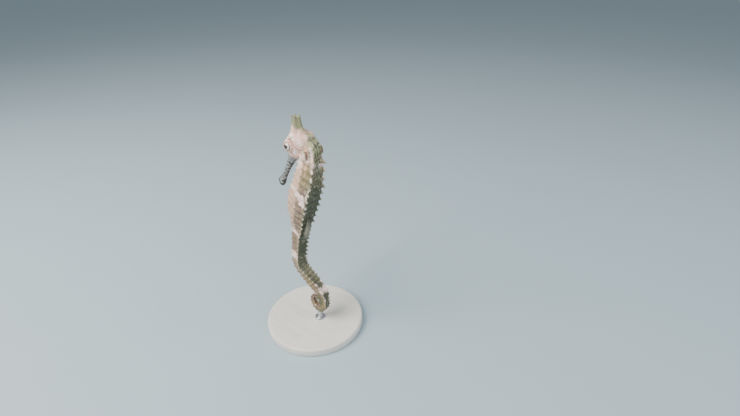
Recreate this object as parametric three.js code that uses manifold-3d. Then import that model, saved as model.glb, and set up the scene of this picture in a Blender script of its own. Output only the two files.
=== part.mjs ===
// A life-size museum model of a spiny, long-snouted seahorse, held upright by a plain display stand.
// Millimetres, +Z up. The animal faces -Y and its left side is +X. Its backbone and its head lie in
// the plane X = 0. The origin is the middle of the underside of the stand's base.
//
// The body is one tube of bony rings that follows a bent backbone. Each ring is a polygon whose
// corners are the ridges of a seahorse: seven on the trunk, four on the tail. Every ridge rises to
// a spine in the middle of each ring. Trunk and upper tail are rolled a little about the backbone,
// with the back tipped to the left. The head is a second tube along the line of the snout.

import * as THREE from 'three';
import { mergeVertices } from 'three/addons/utils/BufferGeometryUtils.js';
import Module from 'manifold-3d';

const wasm = await Module();
wasm.setup();

// ---------------------------------------------------------------- driving dimensions

const GAP = 0.3; // clear space between neighbouring pieces

// Backbone, as a distance along it from the nape. Headings are from straight down, + is backward.
const NAPE = { y: -4.3, z: 114.5, heading: 94 };
const BENDS = [
  { from: 3.6, to: 15.4, turn: -101 }, // the arch of the neck
  { from: 14, to: 28, turn: -11 }, // the shoulders lean back over the chest
  { from: 34, to: 54, turn: 5 },
  { from: 54, to: 68, turn: 3 },
  { from: 78.2, to: 92, turn: 61 }, // the tail swings back
  { from: 101, to: 113, turn: -51 }, // and curls forward at its end
  { from: 113, to: 128, turn: -165 },
  { from: 127, to: 136, turn: -200 },
];
const ROLL = { degrees: 17, startsFrom: 2, startsTo: 15, endsFrom: 84, endsTo: 106 };

const NECK_END = 13;
const TRUNK_END = 58;
const CURL_BEGINS = 102.2;
const TAIL_END = 135;
const NECK_RINGS = 3;
const TRUNK_RINGS = 11;
const CHEST_RINGS = 5; // the trunk's upper length
const TAIL_RINGS = 34;
const FIRST_TAIL_RING = 3.2; // length of the first tail ring; the rest shorten evenly to the tip

// Half depth, back to belly, and half width of the body at distances along the backbone
const HALF_DEPTH = [
  [0, 2.2], [3, 2.9], [6, 4.3], [9, 5.4], [13, 5.8], [19, 6.25], [26, 6.9], [34, 7.2], [42, 6.95],
  [49, 6.1], [54, 5.45], [58, 4.65], [62, 3.95], [70, 3.5], [80, 3.45], [92, 3.4], [104, 3.05],
  [114, 2.55], [122, 1.9], [129, 1.2], [135, 0.5],
];
const HALF_WIDTH = [
  [0, 3.0], [3, 3.6], [6, 4.0], [13, 4.5], [19, 5.2], [26, 5.85], [34, 6.15], [42, 6.1], [49, 5.75],
  [54, 5.0], [58, 4.1], [62, 3.5], [70, 3.35], [80, 3.15], [92, 3.0], [104, 2.75],
  [114, 2.3], [122, 1.75], [129, 1.1], [135, 0.45],
];
const BELLY = { at: 48, spread: 13, swell: 0.57 }; // the low belly hangs deeper than the back
const NAPE_CREST = { at: 9.2, spread: 2.6, swell: 0.3 }; // and the arched neck rises to a crest

// Half outline of a ring from the middle of the back to the keel, in half widths and half depths:
// mid back, upper ridge, panel, side ridge, panel, lower ridge, panel, keel
const NECK_OUTLINE = [
  [0, 1.0], [0.42, 0.98], [0.8, 0.55], [1, 0.05], [0.94, -0.42], [0.7, -0.8], [0.36, -0.97], [0, -1.02],
];
const TRUNK_OUTLINE = [
  [0, 0.87], [0.62, 1.0], [0.85, 0.54], [1, 0.08], [0.92, -0.4], [0.74, -0.82], [0.36, -0.94], [0, -1.06],
];
const TAIL_OUTLINE = [
  [0, 0.78], [0.92, 0.98], [0.82, 0.48], [0.8, 0], [0.82, -0.46], [0.9, -0.92], [0.45, -0.82], [0, -0.78],
];
const UPPER_RIDGE = 1;
const SIDE_RIDGE = 3;
const LOWER_RIDGE = 5;
const KEEL = 7;

// How far a ring's spines stand off its ridges
const TRUNK_SPINE = { [UPPER_RIDGE]: 1.4, [SIDE_RIDGE]: 1.0, [LOWER_RIDGE]: 0.8, [KEEL]: 0.4 };
const NECK_SPINE = 0.5; // each neck ring's spines stand this much higher than the last one's
const TAIL_SPINE = { [UPPER_RIDGE]: 1.15, [LOWER_RIDGE]: 0.55 };
const TAIL_TIP_SPINE = 0.15; // share of the first tail ring's spines left at the tip
const LONG_SPINE = 1.35; // the first trunk ring and every third after it bear longer spines
const LAST_TRUNK_SPINE = 0.6; // share of the chest's spines left at the end of the trunk
const RING_CREST = 1.03; // the bony hoop in the middle of a ring, and the groove between rings
const RING_GROOVE = 0.965;

// Head, as a distance from the mouth along the snout, then up towards the forehead
const SNOUT_TIP = { y: -15.9, z: 88.5 };
const HEAD_PITCH = 59.7; // the snout points this far below level
const HEAD_STATIONS = [
  // from mouth, top, bottom, half width
  [0, 2.35, 1.85, 1.55], [2, 2.35, 2.0, 1.8], [5, 1.7, 1.5, 1.5], [9, 1.55, 1.4, 1.4],
  [14, 1.8, 1.6, 1.6], [18, 2.3, 2.15, 1.95], [21.3, 3.1, 2.9, 2.55],
  [24, 4.4, 4.2, 3.2], [27, 5.3, 5.2, 3.8], [30, 5.8, 5.8, 4.1], [33, 5.6, 5.5, 4.0],
  [35.3, 4.6, 4.4, 3.4], [36.7, 2.9, 2.9, 2.3], [37.3, 1.1, 1.3, 1.0],
];
const SNOUT_LENGTH = 21.3;
const MOUTH = { depth: 1.3, share: 0.55 }; // the open mouth is a pit in the end of the snout

const EYE = { along: 26.6, up: 2.4, side: 3.55, radius: 2.15 };
const ORBIT = { side: 2.6, radius: 3.1 }; // the bony rim the eye sits in
const GILL_COVER = { along: 32.8, up: -1.9, side: 2.95, length: 4.2, height: 4.3, bulge: 2.3 };
const HEAD_SPINES = [
  // from mouth, up, side, then the same for the direction, then radius and length
  { name: 'nose', at: [24.2, 3.9, 0], towards: [-0.2, 1, 0], radius: 0.7, length: 1.3 },
  { name: 'brow', at: [27.6, 4.5, 2.7], towards: [0.15, 1, 0.75], radius: 0.75, length: 2.1 },
  { name: 'brow', at: [27.6, 4.5, -2.7], towards: [0.15, 1, -0.75], radius: 0.75, length: 2.1 },
  { name: 'cheek', at: [26.4, -4.0, 2.4], towards: [-0.1, -1, 0.8], radius: 0.65, length: 1.9 },
  { name: 'cheek', at: [26.4, -4.0, -2.4], towards: [-0.1, -1, -0.8], radius: 0.65, length: 1.9 },
  { name: 'crown', at: [36.0, 1.6, 0], towards: [1, -0.1, 0], radius: 1.1, length: 1.8 },
];

// Coronet, straight up from the back of the crown
const CORONET = { y: -1.2, z: 117.9, lean: -2, points: 5 };
const CORONET_STATIONS = [
  // height, radius, depth of the star
  [0, 4.0, 0], [3.0, 3.05, 0.05], [5.4, 2.45, 0.1], [7.2, 2.15, 0.16], [8.6, 1.95, 0.25], [9.3, 1.95, 0.33],
];
const CORONET_HOLLOW = 1.4; // how far the middle of the crown lies below its points

// Fins, all thin plates
const FIN_THICKNESS = 0.6;
const DORSAL_FIN = { from: 50, to: 61.5, height: 4.6, rays: 9 };
const ANAL_FIN = { at: 59, height: 2.4, width: 2.0 };
const PECTORAL_FIN = { at: 11.4, side: 4.7, out: -0.6, length: 4.3, spread: 50, flare: 10, rays: 7 };

const BASE = { radius: 28, thickness: 5, edge: 1.2, segments: 40 };
const ROD = { radius: 1.25, foot: 3, footThickness: 1, segments: 20 };

const COLOURS = {
  skin: 0xb9a488,
  snout: 0x8f8c84,
  crown: 0xa39a5c,
  gill: 0xd9c6bb,
  fin: 0xc9bda2,
  eye: 0xe8e4da,
  base: 0xe9e7e1,
  rod: 0xb4b6b8,
};

// ---------------------------------------------------------------- small helpers

const clamp01 = (t) => Math.min(1, Math.max(0, t));
const smooth = (t) => clamp01(t) ** 2 * (3 - 2 * clamp01(t));
const radians = THREE.MathUtils.degToRad;
const mix = (a, b, t) => a + (b - a) * t;

// A smooth curve through a table of [place, value] rows, level at neither end
function curveThrough(table, column = 1) {
  const xs = table.map((row) => row[0]);
  const ys = table.map((row) => row[column]);
  const last = xs.length - 1;
  const slopes = xs.map((_, i) => {
    const before = Math.max(0, i - 1);
    const after = Math.min(last, i + 1);
    return (ys[after] - ys[before]) / (xs[after] - xs[before]);
  });
  return (x) => {
    let i = xs.findIndex((value) => value > x) - 1;
    if (x <= xs[0]) i = 0;
    if (x >= xs[last]) i = last - 1;
    const width = xs[i + 1] - xs[i];
    const t = clamp01((x - xs[i]) / width);
    return (2 * t ** 3 - 3 * t ** 2 + 1) * ys[i] + (t ** 3 - 2 * t ** 2 + t) * width * slopes[i]
      + (3 * t ** 2 - 2 * t ** 3) * ys[i + 1] + (t ** 3 - t ** 2) * width * slopes[i + 1];
  };
}

// A closed skin over rings of equally many points, with a fan of faces over each end
function loft(rings) {
  const count = rings[0].length;
  const points = rings.flat();
  const faces = [];
  for (let i = 0; i < rings.length - 1; i += 1) {
    for (let j = 0; j < count; j += 1) {
      const a = i * count + j;
      const b = i * count + ((j + 1) % count);
      faces.push(a, b, a + count, b, b + count, a + count);
    }
  }
  const middle = (ring) => ring.reduce((sum, p) => sum.add(p), new THREE.Vector3()).divideScalar(count);
  const first = points.push(middle(rings[0])) - 1;
  const last = points.push(middle(rings[rings.length - 1])) - 1;
  const end = (rings.length - 1) * count;
  for (let j = 0; j < count; j += 1) {
    const next = (j + 1) % count;
    faces.push(first, next, j, last, end + j, end + next);
  }
  const geometry = new THREE.BufferGeometry().setFromPoints(points);
  geometry.setIndex(faces);
  return geometry;
}

// A closed geometry as a solid for cutting and joining, its faces turned outwards
function solidOf(geometry) {
  const bare = geometry.clone();
  bare.deleteAttribute('normal');
  bare.deleteAttribute('uv');
  const merged = mergeVertices(bare, 1e-4);
  const make = (triVerts) => new wasm.Manifold(new wasm.Mesh({
    numProp: 3,
    vertProperties: merged.attributes.position.array,
    triVerts,
  }));
  const solid = make(new Uint32Array(merged.index.array));
  return solid.volume() < 0 ? make(new Uint32Array(merged.index.array).reverse()) : solid;
}

function geometryOf(solid) {
  const { vertProperties, numProp, triVerts } = solid.getMesh();
  const positions = new Float32Array((vertProperties.length / numProp) * 3);
  for (let i = 0; i < positions.length / 3; i += 1) {
    positions.set(vertProperties.subarray(i * numProp, i * numProp + 3), i * 3);
  }
  const geometry = new THREE.BufferGeometry();
  geometry.setAttribute('position', new THREE.BufferAttribute(positions, 3));
  geometry.setIndex(new THREE.BufferAttribute(triVerts, 1));
  geometry.computeVertexNormals();
  return geometry;
}

const largestPiece = (solid) => solid.decompose().sort((a, b) => b.volume() - a.volume())[0];

// ---------------------------------------------------------------- backbone

function headingAt(s) {
  const bends = BENDS.reduce((sum, b) => sum + b.turn * smooth((s - b.from) / (b.to - b.from)), NAPE.heading);
  return radians(bends);
}

// How far the body is rolled about its backbone, the back towards the left
function rollAt(s) {
  const starts = smooth((s - ROLL.startsFrom) / (ROLL.startsTo - ROLL.startsFrom));
  const ends = smooth((s - ROLL.endsFrom) / (ROLL.endsTo - ROLL.endsFrom));
  return radians(ROLL.degrees) * (starts - ends);
}

const STEP = 0.05;
const backbone = [[NAPE.y, NAPE.z]];
for (let i = 0; i < Math.ceil(TAIL_END / STEP); i += 1) {
  const heading = headingAt((i + 0.5) * STEP);
  const [y, z] = backbone[i];
  backbone.push([y + Math.sin(heading) * STEP, z - Math.cos(heading) * STEP]);
}

// A point beside the backbone: `side` to the left, `out` towards the back of the animal
function beside(s, side, out, roll = rollAt(s)) {
  const place = Math.min(Math.max(s / STEP, 0), backbone.length - 1.001);
  const i = Math.floor(place);
  const heading = headingAt(s);
  const y = mix(backbone[i][0], backbone[i + 1][0], place - i);
  const z = mix(backbone[i][1], backbone[i + 1][1], place - i);
  const across = side * Math.cos(roll) + out * Math.sin(roll);
  const rise = out * Math.cos(roll) - side * Math.sin(roll);
  return new THREE.Vector3(across, y + rise * Math.cos(heading), z + rise * Math.sin(heading));
}

// Tips a shape made beside the unrolled backbone as far as the body is rolled at distance s
function rolledWithBody(geometry, s) {
  const heading = headingAt(s);
  const foot = beside(s, 0, 0);
  const lengthwise = new THREE.Vector3(0, Math.sin(heading), -Math.cos(heading));
  return geometry
    .translate(-foot.x, -foot.y, -foot.z)
    .applyQuaternion(new THREE.Quaternion().setFromAxisAngle(lengthwise, rollAt(s)))
    .translate(foot.x, foot.y, foot.z);
}

// ---------------------------------------------------------------- ringed body

const halfDepth = curveThrough(HALF_DEPTH);
const halfWidth = curveThrough(HALF_WIDTH);

// The half outline at distance s, at place q along its eight points
function outlineAt(s, q) {
  const i = Math.min(Math.floor(q), KEEL - 1);
  const at = (outline, axis) => mix(outline[i][axis], outline[i + 1][axis], q - i);
  const trunk = smooth((s - NECK_END + 3) / 8);
  const tail = smooth((s - TRUNK_END + 2) / 8);
  const blend = (axis) => mix(
    mix(at(NECK_OUTLINE, axis), at(TRUNK_OUTLINE, axis), trunk), at(TAIL_OUTLINE, axis), tail);
  const swollen = ({ at: middle, spread, swell }) => 1 + swell * Math.exp(-(((s - middle) / spread) ** 2));
  const out = blend(1);
  return [blend(0), out * swollen(out < 0 ? BELLY : NAPE_CREST)];
}

// Every ring of the body, with where it starts and ends and how far its spines stand
function allRings() {
  const rings = [];
  const add = (from, to, spines) => rings.push({ from, to, spines });
  for (let i = 0; i < NECK_RINGS; i += 1) {
    const length = NECK_END / NECK_RINGS;
    add(i * length, (i + 1) * length, { [UPPER_RIDGE]: i * NECK_SPINE });
  }
  const trunkRing = (TRUNK_END - NECK_END) / TRUNK_RINGS;
  for (let i = 0; i < TRUNK_RINGS; i += 1) {
    const size = mix(1, LAST_TRUNK_SPINE, i / (TRUNK_RINGS - 1)) * (i % 3 === 0 ? LONG_SPINE : 1);
    const spines = Object.fromEntries(Object.entries(TRUNK_SPINE).map(([q, h]) => [q, h * size]));
    add(NECK_END + i * trunkRing, NECK_END + (i + 1) * trunkRing, spines);
  }
  const meanRing = (TAIL_END - TRUNK_END) / TAIL_RINGS;
  let from = TRUNK_END;
  for (let i = 0; i < TAIL_RINGS; i += 1) {
    const share = i / (TAIL_RINGS - 1);
    const length = mix(FIRST_TAIL_RING, 2 * meanRing - FIRST_TAIL_RING, share);
    const size = mix(1, TAIL_TIP_SPINE, share);
    const spines = Object.fromEntries(Object.entries(TAIL_SPINE).map(([q, h]) => [q, h * size]));
    add(from, from + length, spines);
    from += length;
  }
  return rings;
}

const RINGS = allRings();
const FIRST_TRUNK = NECK_RINGS;
const FIRST_TAIL = NECK_RINGS + TRUNK_RINGS;

// One cross-section: `raised` adds the ring's spines, `grow` pushes the whole outline outwards
function section(s, places, { scale = 1, spines = {}, grow = 0 } = {}) {
  const half = places.map((q) => {
    const [x, out] = outlineAt(s, q);
    const point = new THREE.Vector2(x * halfWidth(s) * scale, out * halfDepth(s) * scale);
    const length = point.length() || 1;
    return point.multiplyScalar((length + grow + (spines[q] || 0)) / length);
  });
  const left = half.map((p) => beside(s, p.x, p.y));
  const right = half.slice(1, -1).reverse().map((p) => beside(s, -p.x, p.y));
  return [...left, ...right];
}

const TRUNK_PLACES = [0, 0.8, 1, 1.2, 2, 2.8, 3, 3.2, 4, 5, 6, 7];
const TAIL_PLACES = [0, 0.8, 1, 1.2, 3, 5, 7];
const FINE_PHASES = [0, 0.32, 0.5, 0.68];
const COARSE_PHASES = [0, 0.5];

// The length of body from one ring up to another, less half the gap at each end
function bodyLength(firstRing, endRing, places, phases, grow = 0) {
  const start = RINGS[firstRing].from + (firstRing ? GAP / 2 : 0) - grow;
  const finish = RINGS[endRing - 1].to - (endRing < RINGS.length ? GAP / 2 : 0) + grow;
  const sections = [];
  RINGS.slice(firstRing, endRing).forEach((ring, i) => {
    phases.forEach((phase) => {
      const s = mix(ring.from, ring.to, phase);
      const crest = phase === 0.5;
      const scale = { 0: RING_GROOVE, 0.5: RING_CREST }[phase] ?? 1;
      const at = i === 0 && phase === 0 ? start : s;
      sections.push(section(at, places, { scale, spines: crest ? ring.spines : {}, grow }));
    });
  });
  sections.push(section(finish, places, { scale: RING_GROOVE, grow }));
  return loft(sections);
}

// ---------------------------------------------------------------- head

const pitch = radians(HEAD_PITCH);
const BACK_ALONG = new THREE.Vector3(0, Math.cos(pitch), Math.sin(pitch)); // from the mouth to the nape
const FOREHEAD = new THREE.Vector3(0, -Math.sin(pitch), Math.cos(pitch));

function headPoint(along, up, side) {
  return new THREE.Vector3(side, SNOUT_TIP.y, SNOUT_TIP.z)
    .addScaledVector(BACK_ALONG, along)
    .addScaledVector(FOREHEAD, up);
}

const headTop = curveThrough(HEAD_STATIONS, 1);
const headBottom = curveThrough(HEAD_STATIONS, 2);
const headHalfWidth = curveThrough(HEAD_STATIONS, 3);

// One round of the head, its upper and lower halves each half an ellipse
function headRound(along, count, grow = 0, share = 1) {
  return Array.from({ length: count }, (_, i) => {
    const angle = (i / count) * 2 * Math.PI;
    const rise = Math.cos(angle) > 0 ? headTop(along) : headBottom(along);
    const up = Math.cos(angle) * (rise + grow) * share;
    return headPoint(along, up, Math.sin(angle) * (headHalfWidth(along) + grow) * share);
  });
}

function snoutGeometry() {
  const count = 14;
  const pit = headRound(0, count, 0, MOUTH.share).map((p) => p.addScaledVector(BACK_ALONG, MOUTH.depth));
  const rim = headRound(0, count, 0, MOUTH.share + 0.15);
  const places = [0, 1, 2, 3.5, 5, 9, 14, 18, SNOUT_LENGTH - GAP / 2];
  return loft([pit, rim, ...places.map((along) => headRound(along, count))]);
}

function headShell(grow = 0) {
  const from = SNOUT_LENGTH + GAP / 2 - grow;
  const places = [from, 22.7, 24, 25.5, 27, 28.5, 30, 31.5, 33, 34.2, 35.3, 36.1, 36.7, 37.3];
  return solidOf(loft(places.map((along) => headRound(along, 18, grow))));
}

function sphere(centre, radius, segments = 14) {
  const geometry = new THREE.SphereGeometry(radius, segments, Math.round(segments * 0.7));
  return geometry.rotateZ(Math.PI / 2).translate(centre.x, centre.y, centre.z);
}

function spineSolid({ at, towards, radius, length }, grow = 0) {
  const [foot, direction] = [headPoint(...at), headPoint(...towards).sub(headPoint(0, 0, 0)).normalize()];
  const turn = new THREE.Quaternion().setFromUnitVectors(new THREE.Vector3(0, 1, 0), direction);
  const cone = new THREE.ConeGeometry(radius + grow, length + (radius + grow) * 2, 6).applyQuaternion(turn);
  const middle = foot.addScaledVector(direction, length / 2 - radius);
  return solidOf(cone.translate(middle.x, middle.y, middle.z));
}

const eyeCentre = (side) => headPoint(EYE.along, EYE.up, EYE.side * side);

function orbitSolid(side, grow = 0) {
  const centre = headPoint(EYE.along, EYE.up, ORBIT.side * side);
  return solidOf(sphere(centre, ORBIT.radius + grow));
}

function gillSolid(side, grow = 0) {
  const dome = new THREE.SphereGeometry(1, 16, 11);
  dome.scale(GILL_COVER.bulge + grow, GILL_COVER.length + grow, GILL_COVER.height + grow);
  dome.rotateX(pitch);
  const centre = headPoint(GILL_COVER.along, GILL_COVER.up, GILL_COVER.side * side);
  return solidOf(dome.translate(centre.x, centre.y, centre.z));
}

// The skull with its eye rims and spines, hollowed for the eyes
function headSolid() {
  const rims = [1, -1].map((side) => orbitSolid(side));
  const spines = HEAD_SPINES.map((spine) => spineSolid(spine));
  const bone = [...rims, ...spines].reduce((sum, piece) => sum.add(piece), headShell());
  const sockets = [1, -1].map((side) => solidOf(sphere(eyeCentre(side), EYE.radius + GAP)));
  return sockets.reduce((head, socket) => head.subtract(socket), bone);
}

// ---------------------------------------------------------------- coronet

function coronetGeometry() {
  const count = CORONET.points * 4;
  const lean = radians(CORONET.lean);
  const at = (height, radius, angle) => new THREE.Vector3(
    radius * 0.9 * Math.sin(angle),
    CORONET.y + radius * Math.cos(angle) + height * Math.sin(lean),
    CORONET.z + height * Math.cos(lean),
  );
  const round = (height, radius, star) => Array.from({ length: count }, (_, i) => {
    const angle = (i / count) * 2 * Math.PI;
    const point = Math.cos(CORONET.points * angle);
    return at(height + star * 1.2 * point, radius * (1 + star * point), angle);
  });
  const rounds = CORONET_STATIONS.map((station) => round(...station));
  const top = CORONET_STATIONS[CORONET_STATIONS.length - 1];
  rounds.push(round(top[0] - CORONET_HOLLOW, top[1] * 0.45, 0));
  return loft(rounds);
}

// ---------------------------------------------------------------- fins

// A thin plate from a flat fan, standing on the middle of the back or belly at distance s
function plateOnMidline(outline, s) {
  const shape = new THREE.Shape(outline.map(([y, z]) => new THREE.Vector2(y, z)));
  const plate = new THREE.ExtrudeGeometry(shape, { depth: FIN_THICKNESS, bevelEnabled: false });
  plate.translate(0, 0, -FIN_THICKNESS / 2);
  plate.applyMatrix4(new THREE.Matrix4().set(0, 0, 1, 0, 1, 0, 0, 0, 0, 1, 0, 0, 0, 0, 0, 1));
  return solidOf(rolledWithBody(plate, s));
}

// A fan of soft rays over a stretch of the back; its edge dips between the rays
function dorsalFinOutline() {
  const steps = DORSAL_FIN.rays * 2;
  const edge = Array.from({ length: steps + 1 }, (_, i) => {
    const t = i / steps;
    const s = mix(DORSAL_FIN.from, DORSAL_FIN.to, t);
    const dip = i % 2 ? 0.35 : 0;
    const height = DORSAL_FIN.height * Math.sin(Math.PI * mix(0.12, 0.86, t)) ** 0.7 - dip;
    const p = beside(s + mix(-1.2, 2.2, t), 0, halfDepth(s) * 0.87 + height, 0);
    return [p.y, p.z];
  });
  const root = [DORSAL_FIN.to, DORSAL_FIN.from].map((s) => {
    const p = beside(s, 0, halfDepth(s) * 0.5, 0);
    return [p.y, p.z];
  });
  return [...edge, ...root];
}

function analFinOutline() {
  const half = ANAL_FIN.width / 2;
  const depth = halfDepth(ANAL_FIN.at) * 0.8;
  const corners = [[-half * 0.6, 1.5], [half * 0.6, 1.5], [half * 1.3, -ANAL_FIN.height * 0.8],
    [half * 0.5, -ANAL_FIN.height], [-half * 0.4, -ANAL_FIN.height * 0.95], [-half, -ANAL_FIN.height * 0.7]];
  return corners.map(([down, out]) => {
    const p = beside(ANAL_FIN.at + down, 0, out - depth, 0);
    return [p.y, p.z];
  });
}

// A small fan behind the gill cover, swung out from the side and closed a little at its root
function pectoralFinSolid(side) {
  const { length, spread, rays } = PECTORAL_FIN;
  const edge = Array.from({ length: rays * 2 + 1 }, (_, i) => {
    const angle = radians(mix(-spread, spread, i / (rays * 2)));
    const reach = length * (1 - 0.12 * Math.abs(Math.sin(angle))) - (i % 2 ? 0.3 : 0);
    return new THREE.Vector2(reach * Math.cos(angle), reach * Math.sin(angle));
  });
  const root = [new THREE.Vector2(0.2, 1.5), new THREE.Vector2(0.2, -1.5)];
  const plate = new THREE.ExtrudeGeometry(new THREE.Shape([...root, ...edge]), {
    depth: FIN_THICKNESS,
    bevelEnabled: false,
  });
  // the fan's own x runs backwards from its root, its y runs up the animal's side
  plate.translate(0, 0, -FIN_THICKNESS / 2);
  plate.rotateX(Math.PI / 2);
  plate.rotateZ(Math.PI / 2);
  plate.rotateZ(-side * radians(PECTORAL_FIN.flare));
  plate.rotateX(-headingAt(PECTORAL_FIN.at) * 0.5);
  const foot = beside(PECTORAL_FIN.at, PECTORAL_FIN.side * side, PECTORAL_FIN.out, 0);
  return solidOf(rolledWithBody(plate.translate(foot.x, foot.y, foot.z), PECTORAL_FIN.at));
}

// ---------------------------------------------------------------- display stand

function baseGeometry() {
  const { radius, thickness, edge, segments } = BASE;
  const corner = new THREE.Path();
  corner.moveTo(0, 0);
  corner.lineTo(radius - edge / 2, 0);
  corner.lineTo(radius, edge / 2);
  corner.lineTo(radius, thickness - edge);
  corner.absarc(radius - edge, thickness - edge, edge, 0, Math.PI / 2, false);
  corner.lineTo(0, thickness);
  const profile = corner.getPoints(3);
  return new THREE.LatheGeometry(profile, segments).rotateX(Math.PI / 2);
}

// Where the curl hangs lowest, which is where the rod meets it
function lowestOfCurl() {
  const curl = backbone.slice(Math.floor(CURL_BEGINS / STEP));
  const lowest = curl.reduce((low, p) => (p[1] < low[1] ? p : low));
  return { y: lowest[0], z: lowest[1] };
}

function rodSolid(tail) {
  const low = lowestOfCurl();
  const profile = [
    [0, BASE.thickness], [ROD.foot, BASE.thickness],
    [ROD.foot, BASE.thickness + ROD.footThickness * 0.6],
    [ROD.foot - 0.4, BASE.thickness + ROD.footThickness],
    [ROD.radius, BASE.thickness + ROD.footThickness], [ROD.radius, low.z], [0, low.z],
  ].map(([r, z]) => new THREE.Vector2(r, z));
  const rod = new THREE.LatheGeometry(profile, ROD.segments).rotateX(Math.PI / 2).translate(0, low.y, 0);
  return largestPiece(solidOf(rod).subtract(tail));
}

// ---------------------------------------------------------------- the whole model

const seahorse = new THREE.Group();
seahorse.name = 'seahorse_model';

function addPart(name, shape, color, roughness = 0.6, metalness = 0) {
  const geometry = shape.isBufferGeometry ? shape : geometryOf(shape);
  const mesh = new THREE.Mesh(geometry, new THREE.MeshStandardMaterial({ color, roughness, metalness }));
  mesh.name = name;
  seahorse.add(mesh);
}

const trunkLength = (first, end, grow) => bodyLength(first, end, TRUNK_PLACES, FINE_PHASES, grow);
const tailLength = (first, end, phases, grow) => bodyLength(first, end, TAIL_PLACES, phases, grow);

// Head pieces
const headWithRoom = headShell(GAP);
const gillCovers = { left: gillSolid(1), right: gillSolid(-1) };
const gillsWithRoom = gillSolid(1, GAP).add(gillSolid(-1, GAP));
const orbits = [1, -1].map((side) => orbitSolid(side, GAP));
const headSpines = HEAD_SPINES.map((spine) => spineSolid(spine, GAP));
const aroundHead = [...orbits, ...headSpines].reduce((sum, piece) => sum.add(piece), headWithRoom);

addPart('snout', snoutGeometry(), COLOURS.snout);
addPart('head', headSolid(), COLOURS.skin);
addPart('coronet', largestPiece(solidOf(coronetGeometry()).subtract(headWithRoom)), COLOURS.crown);
Object.entries(gillCovers).forEach(([side, cover]) => {
  addPart(`gill_cover_${side}`, largestPiece(cover.subtract(aroundHead)), COLOURS.gill);
});
[['left', 1], ['right', -1]].forEach(([name, side]) => {
  addPart(`eye_${name}`, sphere(eyeCentre(side), EYE.radius, 12), COLOURS.eye, 0.15);
});

// Ringed body, in lengths
const LOW_TRUNK = FIRST_TRUNK + CHEST_RINGS;
const room = aroundHead.add(gillsWithRoom);
const neck = solidOf(trunkLength(0, FIRST_TRUNK)).subtract(room);
const chest = solidOf(trunkLength(FIRST_TRUNK, LOW_TRUNK)).subtract(room);
addPart('neck', largestPiece(neck), COLOURS.skin);
addPart('trunk_upper', largestPiece(chest), COLOURS.skin);
addPart('trunk_lower', trunkLength(LOW_TRUNK, FIRST_TAIL), COLOURS.skin);
const TAIL_LENGTHS = [
  ['tail_upper', 0, 8, FINE_PHASES],
  ['tail_middle', 8, 17, FINE_PHASES],
  ['tail_curl', 17, 26, COARSE_PHASES],
  ['tail_tip', 26, TAIL_RINGS, COARSE_PHASES],
];
TAIL_LENGTHS.forEach(([name, first, end, phases]) => {
  addPart(name, tailLength(FIRST_TAIL + first, FIRST_TAIL + end, phases), COLOURS.skin);
});

// Fins, cut clear of the body that they stand on
const lowBody = solidOf(trunkLength(LOW_TRUNK, FIRST_TAIL, GAP))
  .add(solidOf(tailLength(FIRST_TAIL, FIRST_TAIL + 8, FINE_PHASES, GAP)));
const dorsalFin = plateOnMidline(dorsalFinOutline(), (DORSAL_FIN.from + DORSAL_FIN.to) / 2);
const analFin = plateOnMidline(analFinOutline(), ANAL_FIN.at);
addPart('dorsal_fin', largestPiece(dorsalFin.subtract(lowBody)), COLOURS.fin);
addPart('anal_fin', largestPiece(analFin.subtract(lowBody)), COLOURS.fin);
const shoulders = solidOf(trunkLength(0, LOW_TRUNK, GAP)).add(room);
[['left', 1], ['right', -1]].forEach(([name, side]) => {
  addPart(`pectoral_fin_${name}`, largestPiece(pectoralFinSolid(side).subtract(shoulders)), COLOURS.fin);
});

// Stand
const curlWithRoom = solidOf(tailLength(FIRST_TAIL + 17, FIRST_TAIL + 26, COARSE_PHASES, GAP))
  .add(solidOf(tailLength(FIRST_TAIL + 26, FIRST_TAIL + TAIL_RINGS, COARSE_PHASES, GAP)));
addPart('stand_base', baseGeometry(), COLOURS.base, 0.5);
addPart('stand_rod', rodSolid(curlWithRoom), COLOURS.rod, 0.3, 1);

export default seahorse;
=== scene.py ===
"""A life-size still model of a spiny, long-snouted seahorse, held up by a plain display stand.

Shapes are worked out in millimetres, +Z up, and become metres as they turn into meshes. The
animal faces -Y and its left side is +X. Its head and backbone lie in the plane X = 0, and the
trunk is rolled about the backbone. The flesh is one skin: the ringed body, the head, the
coronet and every spine are closed surfaces that one remesh melts together. What is not flesh
stays a piece of its own: eyes, fins and stand.
"""

import logging
import math
from dataclasses import dataclass, field
from enum import Enum, IntEnum

import bpy
import numpy as np
from numpy.typing import NDArray
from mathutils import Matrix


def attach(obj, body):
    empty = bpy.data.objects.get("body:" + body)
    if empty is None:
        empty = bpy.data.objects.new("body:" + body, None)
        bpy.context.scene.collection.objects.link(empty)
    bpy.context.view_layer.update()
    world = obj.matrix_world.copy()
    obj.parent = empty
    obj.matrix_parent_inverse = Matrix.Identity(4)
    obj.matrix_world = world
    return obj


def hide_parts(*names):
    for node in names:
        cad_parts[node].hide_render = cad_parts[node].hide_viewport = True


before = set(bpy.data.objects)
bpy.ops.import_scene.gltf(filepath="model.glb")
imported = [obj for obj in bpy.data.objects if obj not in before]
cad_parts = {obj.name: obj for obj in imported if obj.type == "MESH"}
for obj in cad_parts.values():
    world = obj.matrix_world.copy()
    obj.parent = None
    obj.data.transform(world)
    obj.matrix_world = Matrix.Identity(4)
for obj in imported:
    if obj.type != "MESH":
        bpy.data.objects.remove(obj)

LOG = logging.getLogger("seahorse")
MM = 0.001
Array = NDArray[np.float64]
Rows = tuple[tuple[float, ...], ...]
Pair = tuple[float, float]
Triple = tuple[float, float, float]
Piece = bpy.types.Object
Tree = bpy.types.NodeTree
Socket = bpy.types.NodeSocket
Value = Socket | float | str | tuple[float, ...]
Inputs = dict[str | int, Value]


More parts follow.
